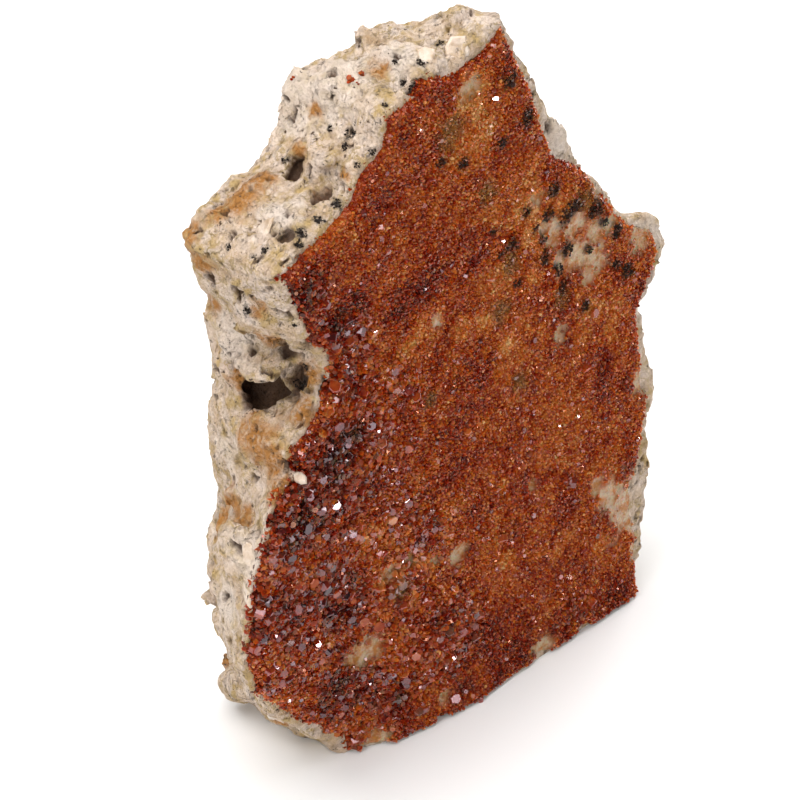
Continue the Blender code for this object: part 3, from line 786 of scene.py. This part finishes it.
def grow_crystals(name, sheet, x, z, radii, aspect, spread, chance, material, chamfer=0.0):
    """Crystals of the druse at given places, standing on its skin."""
    count = len(x)
    y = sheet.sample(sheet.front, x, z)
    normals = unit(np.stack([sheet.sample(sheet.normal[..., i], x, z) for i in range(3)], axis=-1))
    axes = tilted(normals, spread, chance)
    heights = radii * chance.uniform(*aspect, count)
    centres = np.stack((x, y, z), axis=-1) + normals * (CRYSTAL_LIFT * radii)[:, None]
    if chamfer:
        points, faces, each = prisms(centres, axes, radii, heights, chance, chamfer)
    else:
        points, faces, each = spikes(centres, axes, radii, heights, chance)
    shade = GLASS_SHADE if chamfer else 0.0
    tone = druse_tone(sheet, x, z) + chance.normal(0, TONE_SPREAD, count) - shade
    # A few crystals are painted paler: painted glints.
    tone = tone + GLINT_PAINTED_LIFT * (chance.uniform(0, 1, count) < GLINT_PAINTED_SHARE)
    bare = BARE_TINGE * sheet.sample(sheet.bare, x, z) + chance.normal(0, BARE_SPREAD, count)
    values = {
        "tone": tone,
        "bare": clamp01(bare),
        "olive": sheet.sample(sheet.olive, x, z),
        "speck": sheet.sample(sheet.speck, x, z),
    }
    spread_values = {key: np.repeat(numbers, each) for key, numbers in values.items()}
    crystals = mesh_object(name, points, faces, spread_values)
    return finish_piece(crystals, "vanadinite_crust", material)


def make_druse(sheet, sugary, glassy):
    """Fine, medium and coarse crystals; the larger ones crowd towards the lower left."""
    chance = np.random.default_rng(DRUSE_SEED)
    x, z = jittered_places(sheet, FINE_SPACING, chance, FINE_MARGIN)
    bare = sheet.sample(sheet.bare, x, z)
    coarse = sheet.sample(sheet.coarse, x, z)
    keep = chance.uniform(0, 1, len(x)) > FINE_THINNING * bare
    x, z, coarse = x[keep], z[keep], coarse[keep]
    least, more = FINE_RADII
    radii = FINE_SPACING * (least + more * chance.uniform(0, 1, len(x)) ** FINE_POWER)
    radii = radii * (1 + FINE_COARSENING * coarse)
    bands = np.array_split(np.argsort(z, kind="stable"), 3)
    for label, band in zip(("lower", "middle", "upper"), bands):
        name = f"fine_crystals_{label}"
        grow_crystals(name, sheet, x[band], z[band], radii[band], FINE_ASPECT, FINE_LEAN, chance, sugary)
    for name, spacing, margin, (base, rise), (small, large), power, aspect, chamfer in LARGER_CRYSTALS:
        x, z = jittered_places(sheet, spacing, chance, margin)
        weight = base + rise * sheet.sample(sheet.coarse, x, z)
        keep = chance.uniform(0, 1, len(x)) < weight * (1 - sheet.sample(sheet.bare, x, z))
        x, z = x[keep], z[keep]
        radii = small + (large - small) * chance.uniform(0, 1, len(x)) ** power
        grow_crystals(name, sheet, x, z, radii, aspect, LARGE_LEAN, chance, glassy, chamfer)


def make_grains(name, patches, trees, node, chance, material):
    """Clusters of tiny dark mineral grains round the given places."""
    centres, normals, radii = [], [], []
    few, more = GRAIN_COUNT
    for middle, normal, radius in found_places(patches, trees):
        side = normal.orthogonal().normalized()
        other = normal.cross(side)
        for _ in range(int(few + more * radius ** 2)):
            turn = chance.uniform(0, math.tau)
            reach = radius * GRAIN_REACH * math.sqrt(chance.uniform())
            start = middle + (side * math.cos(turn) + other * math.sin(turn)) * reach + normal * GRAIN_DROP
            hits = [tree.ray_cast(start, -normal, 2 * GRAIN_DROP) for tree in trees]
            hits = [hit for hit in hits if hit[0]]
            if hits:
                centres.append(min(hits, key=lambda hit: hit[3])[0])
                normals.append(normal)
                radii.append(chance.uniform(*GRAIN_SIZE))
    centres, normals, radii = np.array(centres), np.array(normals), np.array(radii)
    axes = tilted(normals, GRAIN_LEAN, chance)
    heights = radii * chance.uniform(*GRAIN_HEIGHT, len(radii))
    points, faces, _ = spikes(centres, axes, radii, heights, chance)
    return finish_piece(mesh_object(name, points, faces), node, material)


def make_singles(name, places, trees, tone, lean, chance, material, group=1, way=None):
    """Larger red crystals placed one by one or in small groups, each on whichever solid carries it there."""
    centres, axes, radii = [], [], []
    for place, normal, radius in found_places(places, trees):
        for _ in range(group):
            offset = chance.uniform(-STRAY_SPREAD, STRAY_SPREAD, 3) * radius * (group > 1)
            centres.append(np.array(place) + offset)
            axes.append(way or normal)
            radii.append(radius * chance.uniform(*STRAY_SHRINK) if group > 1 else radius)
    centres, radii = np.array(centres), np.array(radii)
    axes = tilted(np.array(axes), lean, chance)
    heights = radii * chance.uniform(*SINGLE_HEIGHT, len(radii))
    points, faces, each = prisms(centres, axes, radii, heights, chance, SINGLE_CHAMFER)
    values = {key: np.zeros(len(points)) for key in ("bare", "olive", "speck")}
    values["tone"] = np.repeat(chance.normal(tone, SINGLE_TONE_SPREAD, len(radii)), each)
    singles = mesh_object(name, points, faces, values)
    return finish_piece(singles, "vanadinite_crust", material)


def remeshed(node, voxel, smoothing):
    """Points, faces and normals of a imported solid, remeshed in even quads and smoothed."""
    source = bpy.data.objects.new("remesh_source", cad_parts[node].data.copy())
    bpy.context.scene.collection.objects.link(source)
    remesh = source.modifiers.new("even quads", "REMESH")
    remesh.mode = "VOXEL"
    remesh.voxel_size = voxel * MM
    soften = source.modifiers.new("soften", "SMOOTH")
    soften.iterations = smoothing
    soften.factor = SMOOTHING_FACTOR
    graph = bpy.context.evaluated_depsgraph_get()
    mesh = bpy.data.meshes.new_from_object(source.evaluated_get(graph))
    bpy.data.objects.remove(source)
    points = np.empty(len(mesh.vertices) * 3)
    mesh.vertices.foreach_get("co", points)
    normals = np.empty(len(mesh.vertices) * 3)
    mesh.vertices.foreach_get("normal", normals)
    faces = [tuple(p.vertices) for p in mesh.polygons]
    return points.reshape(-1, 3) / MM, faces, normals.reshape(-1, 3)


def plate_relief(points, chance):
    """Relief of broken parallel plates: the surface is parted in domains, each with its own way of lying."""
    seeds = points[chance.choice(len(points), BLADE_DOMAINS, replace=False)]
    ways = unit(chance.normal(0, 1, (BLADE_DOMAINS, 3)))
    thickness = chance.uniform(*PLATE_THICKNESS, BLADE_DOMAINS)
    height = chance.uniform(*PLATE_RELIEF, BLADE_DOMAINS)
    steps = chance.uniform(0, 1, PLATE_STEPS)
    tree = point_tree(seeds)
    warp = np.stack([fractal(points, DOMAIN_WARP_SIZE, 2, shift) for shift in (21.0, 22.0, 23.0)], axis=-1)
    owner = np.array([tree.find(p)[1] for p in points + DOMAIN_WARP * warp])
    phase = ((points - seeds[owner]) * ways[owner]).sum(axis=1) / thickness[owner]
    phase = phase + PLATE_WANDER * fractal(points, PLATE_WANDER_SIZE, octaves=2, shift=24.0)
    plate = np.floor(phase).astype(int)
    ridge = 1 - np.abs(2 * (phase - plate) - 1)
    step = steps[(plate * PLATE_STRIDE + owner * DOMAIN_STRIDE) % PLATE_STEPS]
    relief = RIDGE_SHARE * np.sqrt(ridge) + STEP_SHARE * step - PLATE_SINK
    return height[owner] * relief, step, ways[owner]


def make_chunks(trees, chance, material):
    """Larger tabular baryte crystals, each half sunk in the rock where the photograph shows one."""
    right, up, _ = camera_axes()
    points, faces = [], []
    corners = np.arange(CHUNK_SIDES) * math.tau / CHUNK_SIDES
    for place, normal, length, width, thick, turn, lean in found_places(CHUNKS, trees):
        place, normal = np.array(place), np.array(normal)
        turned, lifted = math.radians(turn), math.radians(lean)
        along = np.array(right) * math.cos(turned) + np.array(up) * math.sin(turned)
        along = unit(along - normal * (along @ normal))
        across = np.cross(normal, along) * math.cos(lifted) + normal * math.sin(lifted)
        axis = np.cross(along, across)
        sunk = CHUNK_SINK * (thick * math.cos(lifted) + width * math.sin(lifted))
        centre = place - normal * sunk
        angles = corners + chance.uniform(-CHUNK_JITTER, CHUNK_JITTER, CHUNK_SIDES)
        radius = chance.uniform(*CHUNK_SPREAD, CHUNK_SIDES)
        outline = np.outer(np.cos(angles) * radius * length / 2, along)
        outline += np.outer(np.sin(angles) * radius * width / 2, across)
        half = thick / 2
        straight = half - CHUNK_CHAMFER
        first = len(points)
        bottom, top = CHUNK_ENDS
        for height, shrink in ((-half, bottom), (-straight, 1.0), (straight, 1.0), (half, top)):
            points += list(centre + outline * shrink + axis * height)
        rings = [first + level * CHUNK_SIDES for level in range(4)]
        faces.append(tuple(reversed(range(first, first + CHUNK_SIDES))))
        faces.append(tuple(range(rings[-1], rings[-1] + CHUNK_SIDES)))
        for ring in rings[:-1]:
            faces += walls(ring, CHUNK_SIDES)
    points = np.array(points)
    points[:, 2] = np.maximum(points[:, 2], TABLE_CLEARANCE)
    return finish_piece(mesh_object("baryte_chunks", points, faces), "matrix", material)


def make_blades(points, normals, ways, values, chance, material):
    """Thin tabular crystals half sunk in the rock, parallel to their neighbours."""
    count = len(points)
    side, _ = perpendicular(normals)
    ways = ways * np.sign((ways * normals).sum(axis=1) + TINY)[:, None]
    lying = (chance.uniform(0, 1, count) < FLAT_LYING)[:, None]
    ways = ways + np.where(lying, FLAT_PULL, 0.0) * normals
    ways = tilted(unit(ways), BLADE_LEAN, chance)
    along = np.cross(ways, normals)
    weak = np.linalg.norm(along, axis=1) < BLADE_UPRIGHT
    along[weak] = side[weak]
    along = unit(along)
    across = np.cross(ways, along)
    across *= np.sign((across * normals).sum(axis=1) + TINY)[:, None]
    length, width = chance.uniform(*BLADE_LENGTH, count), chance.uniform(*BLADE_WIDTH, count)
    thick, rise = chance.uniform(*BLADE_THICKNESS, count), chance.uniform(*BLADE_RISE, count)
    steep = np.abs((across * normals).sum(axis=1))
    flat = np.abs((ways * normals).sum(axis=1))
    centres = points + normals * (rise - width / 2 * steep - thick / 2 * flat)[:, None]
    sides = len(BLADE_OUTLINE)
    outline = np.array(BLADE_OUTLINE) + chance.uniform(-BLADE_JITTER, BLADE_JITTER, (count, sides, 2))
    flank = outline[..., :1] * (along * length[:, None] / 2)[:, None]
    flank = flank + outline[..., 1:] * (across * width[:, None] / 2)[:, None]
    half = (ways * thick[:, None] / 2)[:, None]
    middles = centres[:, None]
    shape = np.concatenate((middles + flank - half, middles + BLADE_TAPER * flank + half), axis=1)
    faces = [(a, c, b) for a, b, c in fan(0, sides)] + fan(sides, sides) + halved(walls(0, sides))
    each = 2 * sides
    spread_values = {key: np.repeat(numbers, each) for key, numbers in values.items()}
    shape = shape.reshape(-1, 3)
    shape[:, 2] = np.maximum(shape[:, 2], TABLE_CLEARANCE)
    blades = mesh_object("baryte_blades", shape, repeated(faces, count, each), spread_values)
    return finish_piece(blades, "matrix", material)


def split_by_side(points, faces):
    """The faces that look up or towards -x, and the others."""
    faces = np.array([face if len(face) == 4 else (*face, face[-1]) for face in faces])
    corners = points[faces]
    facing = np.cross(corners[:, 2] - corners[:, 0], corners[:, 3] - corners[:, 1])
    shown = facing @ np.array((-1.0, 0.0, 1.0)) > 0
    return faces[shown], faces[~shown]


def part_of_mesh(name, points, faces, normals, values):
    """An object of some faces of a larger mesh, shaded with the larger mesh's normals."""
    used, numbered = np.unique(faces, return_inverse=True)
    numbered = numbered.reshape(faces.shape)
    corners = [tuple(dict.fromkeys(face)) for face in numbered.tolist()]
    some = {key: numbers[used] for key, numbers in values.items()}
    piece = mesh_object(name, points[used], corners, some)
    piece.data.normals_split_custom_set_from_vertices(normals[used])
    return piece


def make_rock(trees, sheet, material, dark):
    """The baryte rock, with broken plates, lumps and small pits all over its sides and back."""
    chance = np.random.default_rng(ROCK_SEED)
    points, faces, normals = remeshed("matrix", ROCK_VOXEL, ROCK_SMOOTHING)
    x, y, z = points.T
    plates, step, ways = plate_relief(points, chance)
    rough = fractal(points, ROUGHNESS_SIZE, octaves=3, shift=31.0)
    pits_and_painted_shade = smooth01((fractal(points, PIT_SIZE, octaves=3, shift=33.0) - PIT_START) / PIT_EDGE)
    hollow = np.minimum(carved(points, HOLLOWS, trees, 51.0), HOLLOW_LIMIT)
    rim = sheet.sample(sheet.rim, x, z)
    covered = smooth01(rim / COVERED_RIM) * (y < 0)
    swelling = blended(points, SWELLINGS, trees) * (1 - covered)
    facing = (y < sheet.sample(sheet.rock, x, z) + UNDER_DRUSE) & (rim > 0)
    amount = np.where(facing, COVERED_RELIEF, 1.0) * smooth01(z / TABLE_BLEND)
    push = plates + ROUGHNESS_RELIEF * rough - PIT_DEPTH * pits_and_painted_shade
    moved = points + normals * (push * amount - hollow + swelling)[:, None]
    moved[:, 2] = np.maximum(moved[:, 2], 0.0)
    # Low dips of the relief, the pits and the hollows get a painted shade value that darkens the rock's
    # colour there.
    dip_painted_shade = smooth01((-push - DIP_START) / DIP_EDGE)
    values = {
        "stain": patch_field(points, STAIN_PATCHES, trees, 41.0),
        "white": patch_field(points, WHITE_PATCHES, trees, 42.0),
        "soot": patch_field(points, SOOT_PATCHES, trees, 43.0),
        "pits_and_painted_shade": clamp01(PIT_PAINTED_WEIGHT * pits_and_painted_shade + DIP_PAINTED_WEIGHT * dip_painted_shade + smooth01(hollow / HOLLOW_PAINTED_EDGE)),
        "step": step,
    }
    shown, hidden = split_by_side(moved, faces)
    rock = mesh_object("whole_rock", moved, faces)
    smooth = np.array([tuple(v.normal) for v in rock.data.vertices])
    for name, chosen in (("matrix_rock_lit_side", shown), ("matrix_rock_far_side", hidden)):
        finish_piece(part_of_mesh(name, moved, chosen, smooth, values), "matrix", material)
    tree = mesh_tree(rock.data)
    bpy.data.objects.remove(rock)
    make_grains("rock_grains", SOOT_PATCHES, (tree,), "matrix", chance, dark)
    bare = np.flatnonzero(~facing & (z > BLADE_LOWEST) & (hollow < BLADE_HOLLOW))
    chosen = chance.choice(bare, BLADE_COUNT, replace=False)
    some = {key: numbers[chosen] for key, numbers in values.items()}
    some["pits_and_painted_shade"] = np.zeros(BLADE_COUNT)
    some["step"] = chance.uniform(0, 1, BLADE_COUNT)
    make_blades(moved[chosen], normals[chosen], ways[chosen], some, chance, material)
    return tree


class Nodes:
    """A short way to write a material's node tree."""

    def __init__(self, name):
        self.material = bpy.data.materials.new(name)
        self.material.use_nodes = True
        self.tree = self.material.node_tree
        self.shader = self.tree.nodes["Principled BSDF"]

    def put(self, socket, value):
        """Links another node's output to a socket, or gives the socket a fixed value."""
        if isinstance(value, bpy.types.NodeSocket):
            self.tree.links.new(value, socket)
        else:
            socket.default_value = (*value, 1.0) if socket.type == "RGBA" else value

    def add(self, kind, inputs=(), **settings):
        node = self.tree.nodes.new(kind)
        for key, value in settings.items():
            setattr(node, key, value)
        for key, value in dict(inputs).items():
            self.put(node.inputs[key], value)
        return node

    def set(self, **inputs):
        """Gives the surface its colour and finish, and hands back the material."""
        for key, value in inputs.items():
            self.put(self.shader.inputs[key.replace("_", " ")], value)
        return self.material

    def position(self):
        return self.add("ShaderNodeNewGeometry").outputs["Position"]

    def value(self, name):
        return self.add("ShaderNodeAttribute", attribute_name=name).outputs["Fac"]

    def noise(self, millimetres, detail=4.0, rough=0.55):
        settings = {
            "Vector": self.position(), "Scale": 1 / (millimetres * MM), "Detail": detail, "Roughness": rough,
        }
        return self.add("ShaderNodeTexNoise", settings).outputs["Fac"]

    def ramp(self, factor, stops):
        node = self.add("ShaderNodeValToRGB", {"Fac": factor})
        elements = node.color_ramp.elements
        while len(elements) < len(stops):
            elements.new(0.5)
        for element, (place, colour) in zip(elements, stops):
            element.position = place
            element.color = (*colour, 1.0)
        return node.outputs["Color"]

    def spread(self, value, low, high):
        """A value's way from the low mark to the high one, as 0 to 1."""
        return self.add("ShaderNodeMapRange", {"Value": value, "From Min": low, "From Max": high}).outputs[0]

    def blotches(self, millimetres, low, high, detail=4.0, rough=0.55):
        """Noise drawn out into soft-edged blotches between two marks."""
        return self.spread(self.noise(millimetres, detail, rough), low, high)

    def math(self, operation, first, second=0.0):
        return self.add("ShaderNodeMath", {0: first, 1: second}, operation=operation).outputs[0]

    def times(self, first, second):
        return self.math("MULTIPLY", first, second)

    def vector(self, operation, *inputs):
        node = self.add("ShaderNodeVectorMath", enumerate(inputs), operation=operation)
        return node.outputs["Value" if operation == "DOT_PRODUCT" else "Vector"]

    def mix(self, factor, first, second, blend="MIX"):
        inputs = {0: factor, 6: first, 7: second}
        return self.add("ShaderNodeMix", inputs, data_type="RGBA", blend_type=blend).outputs[2]

    def warped(self, millimetres, reach):
        """The position, pushed about by noise so that cells lose their straight edges."""
        settings = {"Vector": self.position(), "Scale": 1 / (millimetres * MM), "Detail": 3.0}
        shift = self.add("ShaderNodeTexNoise", settings).outputs["Color"]
        middle = self.vector("SUBTRACT", shift, (0.5, 0.5, 0.5))
        return self.vector("MULTIPLY_ADD", middle, (reach * MM,) * 3, self.position())

    def tilted_cells(self, place, millimetres):
        """A cell pattern at a place: each cell's own direction, and the place as seen from its middle."""
        cell = self.add("ShaderNodeTexVoronoi", {"Vector": place, "Scale": 1 / (millimetres * MM)})
        way = self.vector("SUBTRACT", cell.outputs["Color"], (0.5, 0.5, 0.5))
        return way, self.vector("SUBTRACT", place, cell.outputs["Position"])

    def flakes(self, place, millimetres):
        """A height in millimetres: a flat facet in every cell, each leaning its own way."""
        way, inside = self.tilted_cells(place, millimetres)
        return self.math("DIVIDE", self.vector("DOT_PRODUCT", way, inside), MM)

    def ribs(self, place, domain, width):
        """Saw-tooth ribs a width apart, running one way inside each domain, and a shade for each rib."""
        way, inside = self.tilted_cells(place, domain)
        along = self.vector("DOT_PRODUCT", self.vector("NORMALIZE", way), inside)
        wander = self.times(self.noise(1.4, detail=3.0), 5.0)
        phase = self.math("ADD", self.math("DIVIDE", along, width * MM), wander)
        rib = {"W": self.math("FLOOR", phase)}
        shade = self.add("ShaderNodeTexWhiteNoise", rib, noise_dimensions="1D")
        return self.math("FRACT", phase), shade.outputs["Value"]

    def bump(self, height, millimetres, normal=None, strength=1.0):
        inputs = {"Height": height, "Distance": millimetres * MM, "Strength": strength}
        if normal:
            inputs["Normal"] = normal
        return self.add("ShaderNodeBump", inputs).outputs["Normal"]


def vanadinite_material(name, roughness, index, tint, sugar=0.0):
    """Lustrous red-brown to orange crystal, paler where the druse is thin, with sugary facets if asked."""
    nodes = Nodes(name)
    if sugar:
        facets = nodes.flakes(nodes.warped(0.5, reach=0.15), 0.26)
        nodes.set(Normal=nodes.bump(facets, sugar))
    wander = nodes.math("SUBTRACT", nodes.blotches(0.9, 0.3, 0.7, detail=3.0), 0.5)
    tone = nodes.math("ADD", nodes.value("tone"), nodes.times(wander, TONE_WANDER))
    colour = nodes.ramp(tone, DRUSE_RAMP)
    bare = nodes.value("bare")
    uncovered = nodes.times(bare, nodes.blotches(1.6, 0.40, 0.56, detail=5.0, rough=0.65))
    for mask, layer in (
        (nodes.times(nodes.value("olive"), OLIVE_STRENGTH), OLIVE),
        (bare, THIN_DRUSE),
        (uncovered, UNCOVERED_ROCK),
        (nodes.value("speck"), SPECK_BLACK),
    ):
        colour = nodes.mix(mask, colour, layer)
    return nodes.set(
        Base_Color=colour, Roughness=roughness, IOR=index, Specular_Tint=tint,
        Subsurface_Weight=0.8, Subsurface_Scale=MM, Subsurface_Radius=DRUSE_GLOW,
    )


def grain_material():
    """Near-black mineral grains with a faint shine."""
    return Nodes("dark_grains").set(Base_Color=GRAIN_BLACK, Roughness=0.7, IOR=1.3)


def chunk_material():
    """Clean milky baryte with a soft shine."""
    nodes = Nodes("milky_baryte")
    milk = nodes.ramp(nodes.noise(1.3, detail=5.0, rough=0.6), MILK_RAMP)
    fine = nodes.bump(nodes.noise(0.5, detail=5.0, rough=0.7), 0.2, strength=0.8)
    worn = nodes.bump(nodes.flakes(nodes.warped(1.2, reach=0.6), 1.2), 0.4, fine)
    return nodes.set(
        Base_Color=milk, Roughness=0.38, Normal=worn,
        Subsurface_Weight=0.3, Subsurface_Scale=MM, Subsurface_Radius=MILK_GLOW,
    )


def rock_material():
    """Cream baryte: ribbed plates in white, cream and tan, ochre stains and black specks, with painted shade
    in its pits, dips, hollows and pores and partly in its rib creases.
    """
    nodes = Nodes("baryte_rock")
    place = nodes.warped(1.2, reach=1.0)
    rib, rib_shade = nodes.ribs(place, domain=3.6, width=0.62)
    clouds = nodes.noise(3.2, detail=5.0, rough=0.65)
    grain = nodes.noise(0.38, detail=5.0, rough=0.75)
    ridge = nodes.math("ABSOLUTE", nodes.math("SUBTRACT", nodes.noise(2.6, detail=5.0, rough=0.6), 0.5))
    # The crease at the foot of each rib is browned: partly staining, partly painted shade.
    crease_stain_and_shade = nodes.times(nodes.spread(rib, 0.16, 0.02), nodes.blotches(1.7, 0.46, 0.60, detail=3.0))
    veins = nodes.times(nodes.spread(ridge, 0.030, 0.008), nodes.blotches(4.0, 0.46, 0.58, detail=3.0))
    # Pores are only bumped in; their dark brown is painted shade.
    pores = nodes.blotches(0.7, 0.36, 0.31, detail=4.0, rough=0.6)
    holes = nodes.times(pores, nodes.spread(clouds, 0.40, 0.52))
    shaded = nodes.mix(rib_shade, *PLATE_SHADES)
    colour = nodes.mix(1.0, nodes.ramp(clouds, CREAM_RAMP), shaded, "MULTIPLY")
    for mask, layer in (
        (nodes.times(crease_stain_and_shade, 0.7), CREASE_STAIN_AND_SHADE),
        (nodes.times(nodes.spread(grain, 0.46, 0.34), 0.6), GRAIN_BROWN),
        (nodes.times(veins, 0.75), VEIN_BROWN),
        (nodes.blotches(2.2, 0.50, 0.64, detail=5.0, rough=0.6), TAN),
        (nodes.times(nodes.value("white"), 0.6), CLEAN_WHITE),
        (nodes.times(nodes.value("stain"), nodes.blotches(0.8, 0.26, 0.52)), OCHRE),
        # Painted shade in pits, dips and hollows, then in the bumped pores.
        (nodes.times(nodes.value("pits_and_painted_shade"), 0.95), PAINTED_SHADE_BROWN),
        (holes, PAINTED_PORE_SHADE),
        (nodes.times(nodes.value("soot"), nodes.blotches(0.35, 0.40, 0.48, detail=3.0)), SOOT_BLACK),
    ):
        colour = nodes.mix(mask, colour, layer)
    normal = nodes.bump(rib, 0.19)
    for height, relief in (
        (nodes.flakes(place, 1.5), 0.55),
        (nodes.flakes(place, 0.5), 0.6),
        (grain, 0.27),
        (holes, -0.4),
    ):
        normal = nodes.bump(height, relief, normal)
    return nodes.set(Base_Color=colour, Roughness=0.65, Normal=normal)


def add_floor():
    """The plain white table, wider than any view."""
    side = TABLE_SIDE
    corners = [(-side, -side, 0), (side, -side, 0), (side, side, 0), (-side, side, 0)]
    floor = mesh_object("table", corners, [(0, 1, 2, 3)])
    floor.data.materials.append(Nodes("white_table").set(Base_Color=TABLE_WHITE, Roughness=0.6))


def add_lights():
    """Wide soft lights round the specimen, and small ones that glint in the crystals, all aimed at it."""
    for name, place, size, watts, colour in LIGHTS:
        data = bpy.data.lights.new(name, "AREA")
        data.size = size * MM
        data.energy = watts
        data.color = colour
        light = bpy.data.objects.new(name, data)
        aim = (Vector(LIGHT_AIM) - Vector(place)).to_track_quat("-Z", "Y")
        light.matrix_world = Matrix.Translation(Vector(place) * MM) @ aim.to_matrix().to_4x4()
        bpy.context.scene.collection.objects.link(light)
    world = bpy.data.worlds.new("studio")
    world.use_nodes = True
    background = world.node_tree.nodes["Background"]
    background.inputs["Color"].default_value = WORLD_COLOUR
    background.inputs["Strength"].default_value = WORLD_STRENGTH
    bpy.context.scene.world = world


def main():
    bpy.context.scene.view_settings.view_transform = "Standard"
    add_camera()
    add_floor()
    add_lights()
    trees = tuple(mesh_tree(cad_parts[node].data) for node in SLOTS)
    sheet = Sheet(*trees)
    dress_sheet(sheet)
    dark = grain_material()
    rough_tree = make_rock(trees, sheet, rock_material(), dark)
    make_chunks(trees, np.random.default_rng(CHUNK_SEED), chunk_material())
    crust = vanadinite_material("vanadinite_crust", 0.15, 1.5, RED_TINT, sugar=1.0)
    sugary = vanadinite_material("vanadinite_sugar", 0.12, 1.5, RED_TINT)
    glassy = vanadinite_material("vanadinite_glass", 0.07, 2.0, MAUVE_TINT)
    skin = make_skin(sheet, crust)
    make_druse(sheet, sugary, glassy)
    on_skin = (mesh_tree(skin.data),)
    chance = np.random.default_rng(STRAY_SEED)
    make_singles(
        "stray_crystals", STRAY_CRYSTALS, (rough_tree,), STRAY_TONE, STRAY_LEAN, chance, sugary, STRAY_GROUP
    )
    chance = np.random.default_rng(PLATE_SEED)
    make_singles(
        "plate_crystals", PLATE_CRYSTALS, on_skin, PLATE_TONE, PLATE_LEAN, chance, glassy, way=PLATE_WAY
    )
    make_singles("red_crystals", RED_CRYSTALS, on_skin, RED_TONE, RED_LEAN, chance, sugary)
    make_grains("druse_grains", SPECK_PATCHES, on_skin, "vanadinite_crust", chance, dark)


main()
